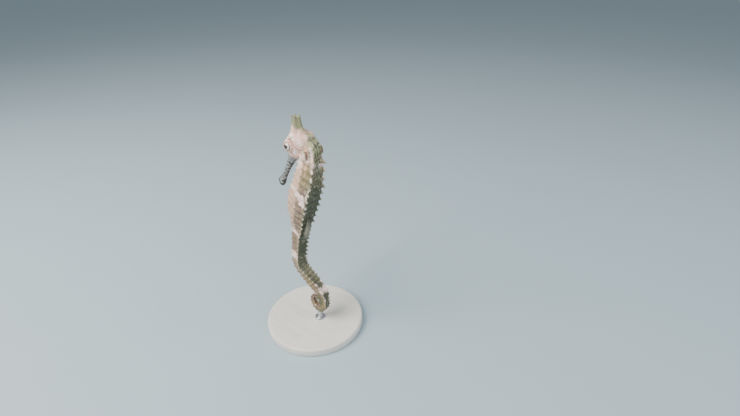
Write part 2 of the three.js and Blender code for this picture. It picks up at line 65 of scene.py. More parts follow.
class Side(IntEnum):
    """The two sides of the animal, as the sign of their x."""

    LEFT = 1
    RIGHT = -1


class Ridge(IntEnum):
    """The ridges of a body ring, as places along its half outline from back to keel."""

    UPPER = 1
    SIDE = 3
    LOWER = 5
    KEEL = 7


class Mark(Enum):
    """The markings of the skin, each a value from 0 to 1 kept on every point of the mesh."""

    DUN = "brown_back"
    # the back's own dark colour, and painted shade on the curl
    BACK = "dark_back_and_curl_shade"
    OLIVE = "olive_flank"
    ROSE = "rose_belly"
    # pale markings of the skin, and a painted highlight on a ring edge of the curl
    PALE = "pale_saddle_and_curl_highlight"
    WARM = "warm_neck"
    GREEN = "green_nape"
    # umber streaks of the skin, and painted shade inside the curl
    UMBER = "umber_streak_and_curl_shade"
    FLECK = "pale_flecks"
    HOOP = "pale_tubercles"
    # painted shade in the grooves where rings meet
    GROOVE = "painted_ring_groove_shade"
    HEAD = "head_rose"
    BONE = "pale_bone"
    STREAK = "eye_streaks"
    # painted shade in creases: before the gill cover, round the eyeball, at the coronet's foot
    SHADE = "painted_crease_shade"
    SNOUT = "grey_snout"
    DUSK = "snout_dusk"
    BAR = "snout_bars"
    CROWN = "olive_crown"


# ------ small mathematics


def smooth(t: Array) -> Array:
    """Eases from 0 at 0 to 1 at 1 and stays level beyond: 3 t squared less 2 t cubed."""
    t = np.clip(t, 0.0, 1.0)
    return t * t * (3.0 - 2.0 * t)


def mix(a: Array, b: Array, t: Array) -> Array:
    """Goes in a straight line from a at t = 0 to b at t = 1."""
    return a + (b - a) * t


def hump(x: Array, middle: float, width: float) -> Array:
    """A bell that is 1 at the middle: e to the minus square of the distance in widths."""
    return np.exp(-(((np.asarray(x) - middle) / width) ** 2))


def band(x: Array, low: float, high: float, edge: float) -> Array:
    """Is 1 between low and high and eases to 0 over one edge width outside them."""
    return smooth((x - low) / edge + 1.0) * smooth((high - x) / edge + 1.0)


def unit(vectors: Array) -> Array:
    """Scales vectors along the last axis to length 1."""
    return vectors / np.maximum(np.linalg.norm(vectors, axis=-1, keepdims=True), 1e-9)


def polar(x: Array, y: Array) -> tuple[Array, Array]:
    """Turns x and y into the distance from their origin and the angle from the x axis."""
    return np.hypot(x, y), np.arctan2(y, x)


def circle(count: int) -> Array:
    """Spreads angles evenly round one full turn."""
    return np.arange(count) / count * 2 * math.pi


def circle_about(axis: Array, count: int) -> Array:
    """Spreads unit vectors evenly round each axis and square to it, (axes, count, 3).

    Args:
        axis: unit vectors, of shape (axes, 3).
        count: how many go round each.

    Returns:
        Unit vectors of shape (axes, count, 3).
    """
    helper = np.where(np.abs(axis[:, :1]) > 0.8, [[0.0, 0.0, 1.0]], [[1.0, 0.0, 0.0]])
    first = unit(np.cross(axis, helper))
    second = np.cross(axis, first)
    turn = circle(count)[:, None]
    return first[:, None] * np.cos(turn) + second[:, None] * np.sin(turn)


def through(rows: Rows, at: Array) -> Array:
    """Reads straight lines between rows of a place and a value."""
    return np.interp(at, *np.transpose(rows))


@dataclass(frozen=True)
class SmoothTable:
    """A smooth curve through rows of a place and a value."""

    rows: Rows

    def __call__(self, at: Array) -> Array:
        """Reads the curve: a cubic between rows, its slope at a row that of its neighbours.

        Args:
            at: the places.

        Returns:
            The values there.
        """
        xs, ys = np.array(self.rows).T
        before = np.maximum(np.arange(len(xs)) - 1, 0)
        after = np.minimum(np.arange(len(xs)) + 1, len(xs) - 1)
        slopes = (ys[after] - ys[before]) / (xs[after] - xs[before])
        i = np.clip(np.searchsorted(xs, at, side="right") - 1, 0, len(xs) - 2)
        width = xs[i + 1] - xs[i]
        t = np.clip((at - xs[i]) / width, 0.0, 1.0)
        start = (2 * t**3 - 3 * t**2 + 1) * ys[i] + (t**3 - 2 * t**2 + t) * width * slopes[i]
        end = (3 * t**2 - 2 * t**3) * ys[i + 1] + (t**3 - t**2) * width * slopes[i + 1]
        return start + end


# ------ surfaces


@dataclass
class Surface:
    """Points in millimetres and the faces over them."""

    points: Array
    quads: NDArray[np.int64]
    triangles: NDArray[np.int64]

    @classmethod
    def tubes(cls, rounds: Array) -> "Surface":
        """Skins one or more stacks of rounds, and closes each stack's two ends with fans.

        Args:
            rounds: points of shape (stack, round, point, 3), or (round, point, 3) for one.

        Returns:
            Closed surfaces whose faces point outwards.
        """
        rounds = np.asarray(rounds, float)
        rounds = rounds[None] if rounds.ndim == 3 else rounds
        stacks, levels, count, _ = rounds.shape
        ends = rounds[:, [0, -1]].mean(axis=2)
        points = np.concatenate([rounds.reshape(stacks, -1, 3), ends], axis=1)
        here = np.arange(levels * count).reshape(levels, count)
        beside = np.roll(here, -1, axis=1)
        quads = np.stack([here[:-1], beside[:-1], beside[1:], here[1:]], axis=-1).reshape(-1, 4)
        hub = np.full(count, levels * count)
        low_fan = np.stack([hub, beside[0], here[0]], axis=-1)
        high_fan = np.stack([hub + 1, here[-1], beside[-1]], axis=-1)
        fans = np.concatenate([low_fan, high_fan])
        start = (np.arange(stacks) * points.shape[1])[:, None, None]
        faces = (quads + start).reshape(-1, 4), (fans + start).reshape(-1, 3)
        return cls(points.reshape(-1, 3), *faces).outward()

    @classmethod
    def joined(cls, parts: list["Surface"]) -> "Surface":
        """Puts several surfaces into one, without melting them.

        Args:
            parts: the surfaces.

        Returns:
            One surface that holds them all.
        """
        starts = np.cumsum([0] + [len(part.points) for part in parts[:-1]])
        return cls(
            np.concatenate([part.points for part in parts]),
            np.concatenate([part.quads + start for part, start in zip(parts, starts)]),
            np.concatenate([part.triangles + start for part, start in zip(parts, starts)]),
        )

    def outward(self) -> "Surface":
        """Turns every face round if the volume that they enclose comes out negative.

        Returns:
            The surface itself.
        """
        split = np.concatenate([self.quads[:, [0, 1, 2]], self.quads[:, [0, 2, 3]], self.triangles])
        a, b, c = (self.points[split[:, i]] for i in range(3))
        if np.einsum("ij,ij->", a, np.cross(b, c)) < 0:
            self.quads = self.quads[:, ::-1]
            self.triangles = self.triangles[:, ::-1]
        return self

    def mesh_object(self, name: str, scale: float = MM) -> Piece:
        """Makes a smooth-shaded object at the origin; the scale is metres to one unit of points.

        Args:
            name: the object's name.
            scale: metres to one unit of the points.

        Returns:
            The new object.
        """
        mesh = bpy.data.meshes.new(name)
        mesh.from_pydata(self.points * scale, [], self.quads.tolist() + self.triangles.tolist())
        mesh.shade_smooth()
        return new_object(name, mesh)


def new_object(name: str, data: bpy.types.ID) -> Piece:
    """Puts a mesh, a lamp or a camera into the scene as an object.

    Args:
        name: its name.
        data: what it shows.

    Returns:
        The object.
    """
    item = bpy.data.objects.new(name, data)
    bpy.context.scene.collection.objects.link(item)
    return item


def keep_on_points(mesh: bpy.types.Mesh, layers: dict[str, Array]) -> None:
    """Keeps values on the mesh's points, each layer as an attribute of its own.

    Args:
        mesh: the mesh.
        layers: a value for each point, by the layer's name.
    """
    for name, values in layers.items():
        data = mesh.attributes.new(name, "FLOAT", "POINT").data
        data.foreach_set("value", values.astype(np.float32))


def lathe(profile: Array, middle: tuple[float, float], count: int) -> Surface:
    """Turns rows of radius and height round an upright axis, (radius cosine, radius sine).

    Args:
        profile: rows of radius and height, from the axis to the axis.
        middle: x and y of the axis.
        count: how many points go round.

    Returns:
        The turned surface.
    """
    turn = circle(count)
    radius, height = profile[:, :1], profile[:, 1:]
    x, y = middle[0] + radius * np.cos(turn), middle[1] + radius * np.sin(turn)
    return Surface.tubes(np.stack([x, y, height + 0 * turn], axis=-1))


def rib(path: Array, radii: Array) -> Surface:
    """Carries a circle of the given radii along a path, its plane square to the path."""
    around = circle_about(unit(np.gradient(path, axis=0)), 12)
    return Surface.tubes(path[:, None] + around * radii[:, None, None])


def thorns(feet: Array, outwards: Array, heights: Array) -> Surface:
    """Makes spines, each a cone that narrows to a blunt tip, with its root sunk in the flesh.

    The radius is the foot's times (1 - t) to the power 0.9, plus the tip's, with t from 0 at
    the root to 1 at the tip.

    Args:
        feet: where each spine leaves the skin.
        outwards: which way each one points.
        heights: how far each one stands off the skin.

    Returns:
        The spines as closed surfaces.
    """
    axis = unit(outwards)
    t = np.array([0.0, 0.2, 0.4, 0.6, 0.75, 0.88, 0.96, 1.0])
    foot = 0.4 * heights + 0.38
    tip = np.array([0.0] * 6 + [0.05, 0.02]) + 0.08
    radius = foot[:, None] * (1 - t) ** 0.9 + tip
    sink = 0.7
    rise = t * (heights[:, None] + sink) - sink
    line = feet[:, None] + axis[:, None] * rise[..., None]
    around = circle_about(axis, 10)
    return Surface.tubes(line[:, :, None] + around[:, None] * radius[..., None, None])


# ------ the ringed body


@dataclass(frozen=True)
class Bend:
    """A bend of the backbone, in degrees, between two distances along it."""

    start: float
    end: float
    turn: float


@dataclass
class Backbone:
    """The bent line that the body's rings are threaded on, in the plane X = 0.

    The body is rolled about it between two stretches where the roll comes on and goes off.
    """

    nape_y: float = -4.3
    nape_z: float = 114.5
    nape_heading: float = 94.0
    bends: tuple[Bend, ...] = (
        Bend(3.6, 15.4, -101.0),
        Bend(14.0, 28.0, -11.0),
        Bend(34.0, 54.0, 5.0),
        Bend(54.0, 68.0, 3.0),
        Bend(78.2, 92.0, 61.0),
        Bend(101.0, 113.0, -51.0),
        Bend(113.0, 128.0, -165.0),
        Bend(127.0, 136.0, -200.0),
    )
    curl_start: float = 102.2
    curl_end: float = 135.0
    roll: float = 17.0
    roll_on: tuple[float, float] = (2.0, 15.0)
    roll_off: tuple[float, float] = (84.0, 106.0)
    step: float = 0.05

    def __post_init__(self) -> None:
        """Walks the line once, a short straight step at a time."""
        self.s = np.arange(0.0, self.curl_end + self.step, self.step)
        heading = self.heading(self.s[:-1] + self.step / 2)
        self.y = self.nape_y + np.concatenate([[0.0], np.cumsum(np.sin(heading))]) * self.step
        self.z = self.nape_z - np.concatenate([[0.0], np.cumsum(np.cos(heading))]) * self.step

    def heading(self, s: Array) -> Array:
        """Gives which way the line runs, in radians from straight down, + for backwards.

        It is the heading at the nape plus every bend's turn, each eased in and out.
        """
        turns = sum(b.turn * smooth((s - b.start) / (b.end - b.start)) for b in self.bends)
        return np.radians(self.nape_heading + turns)

    def rolled(self, s: Array) -> Array:
        """Gives how far the body is rolled about the line, in radians, its back to the left."""
        on, off = (smooth((s - a) / (b - a)) for a, b in (self.roll_on, self.roll_off))
        return math.radians(self.roll) * (on - off)

    def beside(self, s: Array, side: Array, out: Array) -> Array:
        """Finds points at distances along the line, to its left and out towards the back.

        Args:
            s: the distance along the line.
            side: how far to the animal's left.
            out: how far towards its back.

        Returns:
            The points.
        """
        heading, roll = self.heading(s), self.rolled(s)
        x = side * np.cos(roll) + out * np.sin(roll)
        rise = out * np.cos(roll) - side * np.sin(roll)
        y = np.interp(s, self.s, self.y) + rise * np.cos(heading)
        z = np.interp(s, self.s, self.z) + rise * np.sin(heading)
        return np.stack(np.broadcast_arrays(x, y, z), axis=-1)

    def turned(self, s: Array, vector: Array) -> Array:
        """Turns one vector about the line as far as the body is rolled at one place.

        Args:
            s: the place on the line.
            vector: the vector.

        Returns:
            The turned vector.
        """
        heading, roll = float(self.heading(s)), float(self.rolled(s))
        axis = np.array([0.0, math.sin(heading), -math.cos(heading)])
        along = axis * (axis @ vector)
        return along + math.cos(roll) * (vector - along) + math.sin(roll) * np.cross(axis, vector)

    def locate(self, points: Array, reach: SmoothTable) -> tuple[Array, Array, Array]:
        """Finds how far points lie along the line, to its left and out towards the back.

        The nearest place has the least distance in units of the body's reach there, its half
        depth, so a point between two turns of the curl goes to the turn it is part of.

        Args:
            points: the points.
            reach: the body's half depth.

        Returns:
            The distances along, to the left and out.
        """
        s, y, z = self.s[::4], self.y[::4], self.z[::4]
        weight = (1.0 / (reach(s) + 0.6)).astype(np.float32)
        nearest = np.empty(len(points), dtype=np.int64)
        for chunk in np.array_split(np.arange(len(points)), 12):
            dy = (points[chunk, 1:2] - y).astype(np.float32)
            dz = (points[chunk, 2:3] - z).astype(np.float32)
            nearest[chunk] = np.argmin(np.hypot(dy, dz) * weight, axis=1)
        heading = self.heading(s[nearest])
        dy, dz = points[:, 1] - y[nearest], points[:, 2] - z[nearest]
        ahead = dy * np.sin(heading) - dz * np.cos(heading)
        rise = dy * np.cos(heading) + dz * np.sin(heading)
        roll = self.rolled(s[nearest])
        side = points[:, 0] * np.cos(roll) - rise * np.sin(roll)
        return s[nearest] + ahead, side, points[:, 0] * np.sin(roll) + rise * np.cos(roll)


@dataclass
class RingedBody:
    """Neck, trunk and tail: bony rings whose corners are ridges with spines on them."""

    backbone: Backbone = field(default_factory=Backbone)
    neck_end: float = 13.0
    trunk_end: float = 58.0
    neck_rings: int = 3
    trunk_rings: int = 11
    tail_rings: int = 34
    first_tail_ring: float = 3.2
    half_depth: SmoothTable = SmoothTable(
        (
            (0, 2.2), (3, 2.9), (6, 4.3), (9, 5.4), (13, 5.8), (19, 6.25), (26, 6.9), (34, 7.2),
            (42, 6.95), (49, 6.1), (54, 5.45), (58, 4.65), (62, 3.95), (70, 3.5), (80, 3.45),
            (92, 3.4), (104, 3.05), (114, 2.55), (122, 1.9), (129, 1.2), (135, 0.5),
        )
    )
    half_width: SmoothTable = SmoothTable(
        (
            (0, 3.0), (3, 3.6), (6, 4.0), (13, 4.5), (19, 5.2), (26, 5.85), (34, 6.15), (42, 6.1),
            (49, 5.75), (54, 5.0), (58, 4.1), (62, 3.5), (70, 3.35), (80, 3.15), (92, 3.0),
            (104, 2.75), (114, 2.3), (122, 1.75), (129, 1.1), (135, 0.45),
        )
    )
    neck_outline: Rows = (
        (0, 1.0), (0.42, 0.98), (0.8, 0.55), (1, 0.05), (0.94, -0.42), (0.7, -0.8),
        (0.36, -0.97), (0, -1.02),
    )
    trunk_outline: Rows = (
        (0, 0.87), (0.62, 1.0), (0.85, 0.54), (1, 0.08), (0.92, -0.4), (0.74, -0.82),
        (0.36, -0.94), (0, -1.06),
    )
    tail_outline: Rows = (
        (0, 0.78), (0.92, 0.98), (0.82, 0.48), (0.8, 0), (0.82, -0.46), (0.9, -0.92),
        (0.45, -0.82), (0, -0.78),
    )
    belly: Triple = (48.0, 13.0, 0.57)
    nape_crest: Triple = (9.2, 2.6, 0.3)
    hoop_height: float = 0.065
    panel_hollow: float = 0.05

    def __post_init__(self) -> None:
        """Lays the rings end to end; those of the tail shorten evenly towards its tip."""
        trunk_ring = (self.trunk_end - self.neck_end) / self.trunk_rings
        mean_ring = (self.backbone.curl_end - self.trunk_end) / self.tail_rings
        last_ring = 2 * mean_ring - self.first_tail_ring
        tail = np.linspace(self.first_tail_ring, last_ring, self.tail_rings)
        neck = np.full(self.neck_rings, self.neck_end / self.neck_rings)
        self.ring_length = np.concatenate([neck, np.full(self.trunk_rings, trunk_ring), tail])
        self.ring_start = np.concatenate([[0.0], np.cumsum(self.ring_length)[:-1]])
        self.ring_middle = self.ring_start + self.ring_length / 2

    def section(self, s: Array, place: Array) -> tuple[Array, Array]:
        """Gives the body's outline: how far to the side and out from the backbone it lies.

        It runs straight between a ring's corners, those of the neck, then the trunk, then the
        tail, with an easy change between. Belly and nape swell out of it by a bell each.

        Args:
            s: distances along the backbone.
            place: places along the half outline, from 0 at mid back to 7 at the keel.

        Returns:
            Both distances, of shape (s, place).
        """
        i = np.minimum(place.astype(int), Ridge.KEEL - 1)
        share = (place - i)[:, None]
        outlines = (self.neck_outline, self.trunk_outline, self.tail_outline)
        neck, trunk, tail = (mix(np.array(o)[i], np.array(o)[i + 1], share) for o in outlines)
        to_trunk = smooth((s - self.neck_end + 3) / 8)[:, None, None]
        to_tail = smooth((s - self.trunk_end + 2) / 8)[:, None, None]
        shape = mix(mix(neck, trunk, to_trunk), tail, to_tail)
        belly, crest = (1 + b[2] * hump(s, b[0], b[1])[:, None] for b in (self.belly, self.nape_crest))
        side = shape[..., 0] * self.half_width(s)[:, None]
        out = shape[..., 1] * np.where(shape[..., 1] < 0, belly, crest)
        return side, out * self.half_depth(s)[:, None]

    def surface(self) -> Surface:
        """Threads the outline along the backbone.

        Each ring rises to a hoop at its middle, a narrow bell, and the panels between hoops and
        ridges are hollowed by a half sine each way.

        Returns:
            The body without its spines.
        """
        phases = np.linspace(0, 1, 16, endpoint=False)
        s = (self.ring_start[:, None] + self.ring_length[:, None] * phases).ravel()
        phase = np.tile(phases, len(self.ring_start))
        place = np.linspace(0, Ridge.KEEL, 57)
        side, out = self.section(s, place)
        size = self.half_width(s)[:, None]
        hoop = self.hoop_height * (hump(phase, 0.5, 0.13) - 0.45 * hump(np.abs(phase - 0.5), 0.5, 0.16))
        panel = np.sin(math.pi * np.mod(place - 1, 2) / 2)
        between = 1 - hump(phase, 0.5, 0.22)
        raised = size * (hoop[:, None] - self.panel_hollow * panel * between[:, None])
        length = np.maximum(np.hypot(side, out), 1e-6)
        grow = (length + raised) / length
        side, out = side * grow, out * grow
        left = self.backbone.beside(s[:, None], side, out)
        right = self.backbone.beside(s[:, None], -side, out)[:, 1:-1][:, ::-1]
        return Surface.tubes(np.concatenate([left, right], axis=1))

    def spine_table(self) -> tuple[Array, Array, Array]:
        """Lists the ring, the ridge and the height of every spine; each third ring is taller.

        Returns:
            The rings, the ridges and the heights.
        """
        rings = np.arange(len(self.ring_start))
        on_trunk, on_tail = rings - self.neck_rings, rings - self.neck_rings - self.trunk_rings
        trunk = mix(1.0, 0.6, np.clip(on_trunk / (self.trunk_rings - 1), 0, 1))
        trunk = trunk * np.where(on_trunk % 3 == 0, 1.35, 1.0) * ((on_trunk >= 0) & (on_tail < 0))
        tail = mix(1.0, 0.15, np.clip(on_tail / (self.tail_rings - 1), 0, 1)) * (on_tail >= 0)
        heights = {
            Ridge.UPPER: 1.55 * trunk + 1.2 * tail + 0.5 * rings * (on_trunk < 0),
            Ridge.SIDE: 1.1 * trunk,
            Ridge.LOWER: 0.9 * trunk + 0.65 * tail,
            Ridge.KEEL: 0.45 * trunk,
        }
        ring = np.tile(rings, len(heights))
        ridge = np.repeat([int(r) for r in heights], len(rings))
        height = np.concatenate(list(heights.values()))
        keep = height > 0.05
        return ring[keep], ridge[keep], height[keep]

    def spines(self) -> Surface:
        """Stands a spine on each ridge at the middle of each ring, on both sides.

        Returns:
            All the body's spines.
        """
        ring, ridge, height = self.spine_table()
        s = self.ring_middle[ring]
        side, out = (a[np.arange(len(s)), ridge] for a in self.section(s, np.arange(8.0)))
        grow = 1 + 1 / np.maximum(np.hypot(side, out), 1e-6)
        two = np.array([1.0, -1.0])[:, None]
        feet = self.backbone.beside(s, two * side, out)
        ahead = self.backbone.beside(s + 0.6, two * side, out)
        tips = self.backbone.beside(s, two * side * grow, out * grow)
        lean = 0.12 * unit(ahead - feet)
        keel = (np.arange(2)[:, None] == 1) & (ridge == Ridge.KEEL)
        heights = np.broadcast_to(height, keel.shape)
        return thorns(feet[~keel], (tips - feet + lean)[~keel], heights[~keel])


# ------ the head


@dataclass
class Head:
    """Skull, snout, eye rims, gill covers and the bony ribs and spines of the head.

    A station is a distance from the mouth with the height over the axis there, the depth
    under it and the half width.
    """

    tip_y: float = -15.9
    tip_z: float = 88.5
    pitch: float = 59.7
    stations: Rows = (
        (0, 2.35, 1.85, 1.55), (2, 2.35, 2.0, 1.8), (5, 1.7, 1.5, 1.5), (9, 1.55, 1.4, 1.4),
        (14, 1.8, 1.6, 1.6), (18, 2.3, 2.15, 1.95), (21.3, 3.1, 2.9, 2.55), (24, 4.4, 4.2, 3.2),
        (27, 5.3, 5.2, 3.8), (30, 5.8, 5.8, 4.1), (33, 5.6, 5.5, 4.0), (35.3, 4.6, 4.4, 3.4),
        (36.7, 2.9, 2.9, 2.3), (37.3, 1.1, 1.3, 1.0),
    )
    eye: Triple = (26.6, 2.4, 3.55)
    eye_radius: float = 2.15
    rim_radius: float = 2.3
    gill: Triple = (32.8, -1.9, 2.95)
    gill_size: Triple = (4.2, 4.3, 2.3)
    turret_size: Triple = (2.95, 2.95, 2.85)
    keel_from: float = 20.5
    keel_to: float = 34.0

    def __post_init__(self) -> None:
        """Works out the directions from the mouth to the nape and up to the forehead."""
        pitch = math.radians(self.pitch)
        self.back = np.array([0.0, math.cos(pitch), math.sin(pitch)])
        self.rise = np.array([0.0, -math.sin(pitch), math.cos(pitch)])
        self.tip = np.array([0.0, self.tip_y, self.tip_z])
        along, *columns = np.array(self.stations).T
        self.length = float(along[-1])
        self.top, self.bottom, self.half_width = (SmoothTable(tuple(zip(along, c))) for c in columns)

    def place(self, along: Array, up: Array, side: Array) -> Array:
        """Turns distances from the mouth, up to the forehead and to the left into points."""
        along, up, side = (np.asarray(v, float)[..., None] for v in (along, up, side))
        return self.tip + along * self.back + up * self.rise + side * np.array([1.0, 0.0, 0.0])

    def measure(self, points: Array) -> tuple[Array, Array, Array]:
        """Turns points into distances from the mouth, up to the forehead and to the left."""
        from_tip = points - self.tip
        return from_tip @ self.back, from_tip @ self.rise, points[:, 0]

    def skull(self) -> Surface:
        """Lofts snout and skull; a round is half an ellipse above and half one below.

        It starts inside the open mouth and turns out over the lips.

        Returns:
            Snout and skull.
        """
        mouth = np.array([(2.3, 0.36), (1.5, 0.44), (0.6, 0.5), (0.15, 0.6), (0.0, 0.75), (0.15, 0.92)])
        along = np.concatenate([mouth[:, 0], np.linspace(0.5, self.length, 90)])
        share = np.concatenate([mouth[:, 1], np.ones(90)])
        turn = circle(48)
        reach = np.where(np.cos(turn) > 0, self.top(along)[:, None], self.bottom(along)[:, None])
        lip = 0.35 * hump(along, 0.0, 1.5)[:, None] * np.cos(turn)
        up = np.cos(turn) * reach * share[:, None]
        side = np.sin(turn) * self.half_width(along)[:, None] * share[:, None]
        return Surface.tubes(self.place(along[:, None] + lip, up, side))

    def ball(self, middle: Triple, size: Triple, side: Side) -> Surface:
        """Makes an ellipsoid from its middle and half axes, both along, up and to the side.

        Args:
            middle: distance from the mouth, up and to the side.
            size: its half axes in the same order.
            side: the side of the head.

        Returns:
            The ellipsoid.
        """
        tilt = np.linspace(0.04, math.pi - 0.04, 26)[:, None]
        turn = circle(40)
        along = middle[0] + size[0] * np.sin(tilt) * np.cos(turn)
        up = middle[1] + size[1] * np.sin(tilt) * np.sin(turn)
        out = middle[2] + size[2] * np.cos(tilt) + 0 * turn
        return Surface.tubes(self.place(along, up, side * out))

    def eye_rim(self, side: Side) -> list[Surface]:
        """Makes the turret that carries the eye and the fleshy ring round the eyeball.

        Args:
            side: the side of the head.

        Returns:
            The turret and the ring.
        """
        turret = self.ball((self.eye[0], self.eye[1], 2.0), self.turret_size, side)
        turn = np.linspace(0, 2 * math.pi, 49)
        along = self.eye[0] + self.rim_radius * np.cos(turn)
        up = self.eye[1] + self.rim_radius * np.sin(turn)
        ring = rib(self.place(along, up, np.full(49, side * 4.25)), np.full(49, 0.52))
        return [turret, ring]

    def ribs(self, side: Side) -> list[Surface]:
        """Lays the bony ribs over brow, cheek and gill cover; each swells at its middle.

        Args:
            side: the side of the head.

        Returns:
            The ribs.
        """
        routes = (
            ((24.6, 3.7, 1.6), (27.2, 4.7, 2.6), (30.5, 5.2, 2.1), (33.6, 4.7, 1.4), 0.5),
            ((23.4, 1.2, 2.6), (24.2, -1.2, 2.9), (25.2, -3.0, 2.6), (26.4, -4.2, 2.2), 0.42),
            ((29.2, 4.3, 3.5), (31.0, 3.6, 3.9), (33.2, 2.4, 4.0), (35.4, 0.8, 3.4), 0.42),
            ((29.0, -5.0, 2.4), (31.6, -5.1, 2.8), (34.0, -4.2, 2.9), (35.8, -2.4, 2.8), 0.4),
        )
        t = np.linspace(0, 3, 24)
        swell = 0.45 + 0.55 * np.sin(math.pi * t / 3)
        pieces = []
        for *corners, radius in routes:
            along, up, out = (SmoothTable(tuple(enumerate(column)))(t) for column in zip(*corners))
            pieces.append(rib(self.place(along, up, side * out), radius * swell))
        return pieces

    def keel(self) -> Surface:
        """Runs a low rib up the middle of the forehead to the coronet.

        Returns:
            The rib.
        """
        along = np.linspace(self.keel_from, self.keel_to, 40)
        share = (along - self.keel_from) / (self.keel_to - self.keel_from)
        swell = 0.4 + 0.25 * np.sin(math.pi * share)
        return rib(self.place(along, self.top(along) - 0.2, 0 * along), swell)

    def spines(self) -> Surface:
        """Stands the spines of nose, brow, cheek, chin and crown.

        Returns:
            The spines.
        """
        # along, up, side, then the direction, then the height
        nose, crown = (24.2, 4.5, 0, -0.2, 1, 0, 0.8), (36.6, 1.4, 0, 1, -0.1, 0, 1.7)
        paired = [
            (27.6, 5, 2.7, 0.15, 1, 0.75, 1.6), (26.4, -4.6, 2.4, -0.1, -1, 0.8, 1.3),
            (31.4, 4.8, 2.9, 0.3, 1, 1, 0.8),
        ]
        mirrored = np.array(paired)[:, None] * [[1] * 7, [1, 1, -1, 1, 1, -1, 1]]
        rows = np.vstack([nose, mirrored.reshape(-1, 7), crown]).T
        return thorns(self.place(*rows[:3]), self.place(*rows[3:6]) - self.tip, rows[6])

    def surfaces(self) -> list[Surface]:
        """Gathers everything of the head that the skin covers.

        Returns:
            The surfaces.
        """
        pieces = [self.skull(), self.keel(), self.spines()]
        for side in Side:
            pieces += [*self.eye_rim(side), *self.ribs(side), self.ball(self.gill, self.gill_size, side)]
        return pieces


@dataclass
class Coronet:
    """The bony crown: a narrow column that opens into five points round a hollow."""

    y: float = -1.2
    z: float = 117.9
    lean: float = -2.0
    points: int = 5
    stations: Rows = (
        (0, 4.0, 0), (1.6, 3.55, 0.02), (3.0, 3.05, 0.05), (4.2, 2.7, 0.07), (5.4, 2.45, 0.1),
        (6.4, 2.3, 0.13), (7.2, 2.15, 0.16), (8.0, 2.0, 0.2), (8.6, 1.95, 0.25), (9.2, 1.9, 0.32),
        (9.3, 1.6, 0.26), (8.8, 1.2, 0.15), (8.2, 0.8, 0.0),
    )

    def surface(self) -> Surface:
        """Lofts the crown; a round's radius swings by the star's depth, once for each point.

        Returns:
            The crown.
        """
        height, radius, star = np.array(self.stations).T[:, :, None]
        turn = circle(60)
        swing = np.cos(self.points * turn)
        lean = math.radians(self.lean)
        high = height + star * 1.2 * swing
        wide = radius * (1 + star * swing)
        y = self.y + wide * np.cos(turn) + high * math.sin(lean)
        rounds = np.stack([0.9 * wide * np.sin(turn), y, self.z + high * math.cos(lean)], axis=-1)
        return Surface.tubes(rounds)


# ------ the skin


@dataclass(frozen=True)
class Patch:
    """A soft-edged patch of a marking: an ellipse in two coordinates of the skin.

    One runs along the backbone or the head, the other over the body or up the head. The middle
    moves along by the lean for each unit over, and by the bend for each unit squared.
    """

    along: float
    over: float
    reach_along: float
    reach_over: float
    strength: float = 1.0
    lean: float = 0.0
    bend: float = 0.0

    def cover(self, along: Array, over: Array) -> Array:
        """Gives the strength inside the ellipse, half of it on its edge, and 0 well outside.

        Args:
            along: the points' first coordinate.
            over: their second coordinate.

        Returns:
            The strength at each point.
        """
        beyond = over - self.over
        shift = along - self.along - self.lean * beyond - self.bend * beyond**2
        far = np.hypot(shift / self.reach_along, beyond / self.reach_over)
        return self.strength * (1 - smooth((far - 0.6) / 0.8))


# Patches on the body, in millimetres along the backbone and degrees from mid back
BODY_PATCHES: dict[Mark, Rows] = {
    Mark.PALE: (  # the saddle and its arms, nape, throat, trunk end, tail bands, and a painted highlight on the curl
        (37, 54, 3.1, 14, 1, -0.05), (35.6, 76, 2.3, 17, 0.9, -0.05),
        (34.2, 118, 1.1, 30, 0.6, 0.02), (40, 44, 2, 6), (33.2, 38, 2.4, 4, 0.8),
        (29.4, 35, 0.7, 4, 0.7), (22.4, 33, 0.6, 5, 0.9), (18.7, 34, 0.7, 4, 0.9),
        (12.2, 36, 2.2, 7, 0.9), (16.4, 24, 1.1, 16, 0.8), (18, 122, 5, 30, 0.6),
        (14.4, 60, 2.2, 10, 0.65), (62, 104, 2.1, 70, 0.65), (78.6, 96, 2.7, 58, 0.7),
        (105.2, 30, 1.8, 32), (101.2, 40, 1, 8, 0.8), (110.4, 37, 1.7, 5, 0.8),
        # painted highlight on a ring edge of the curl
        (123.5, 118, 0.7, 40, 0.55),
    ),
    Mark.ROSE: (  # neck and chest
        (15.5, 54, 3.4, 26), (6.5, 64, 5, 30),
    ),
    Mark.WARM: (  # the tan band down the neck
        (11.5, 62, 5.2, 10, 0.9), (19.5, 66, 2.6, 9, 0.75),
    ),
    Mark.OLIVE: (  # the flank above the saddle, the curl
        (23.6, 57, 7.6, 25), (97.5, 84, 5.6, 52, 0.8), (113, 92, 6, 60, 0.95),
        (69, 76, 5.6, 40, 0.6), (124, 80, 6, 80, 0.55),
    ),
    Mark.UMBER: (  # streaks beside the saddle and on the tail; painted shade inside the curl and in its hollow by the tip
        (31.2, 57, 1.3, 8), (31.9, 46, 1, 5, 0.8), (45.5, 53, 7, 9, 0.85), (69.5, 90, 6, 60, 0.62),
        # the last two are painted shade inside the curl and in its hollow by the tip
        (54, 74, 4.5, 36, 0.55), (114, 126, 5, 26, 0.6), (131, 90, 4.6, 110, 0.9),
    ),
    Mark.DUN: (  # beside the ridge
        (27, 38, 6, 9),
    ),
    Mark.BACK: (  # a dark blotch of the tail; on the curl, painted shade
        # the last two are painted shade on the turns of the curl
        (86.5, 42, 2.2, 10, 0.6), (111, 108, 5, 44, 0.74), (119.4, 58, 5, 32, 0.72),
    ),
    Mark.GREEN: (  # the side of the nape
        (8.8, 34, 2.6, 9),
    ),
}

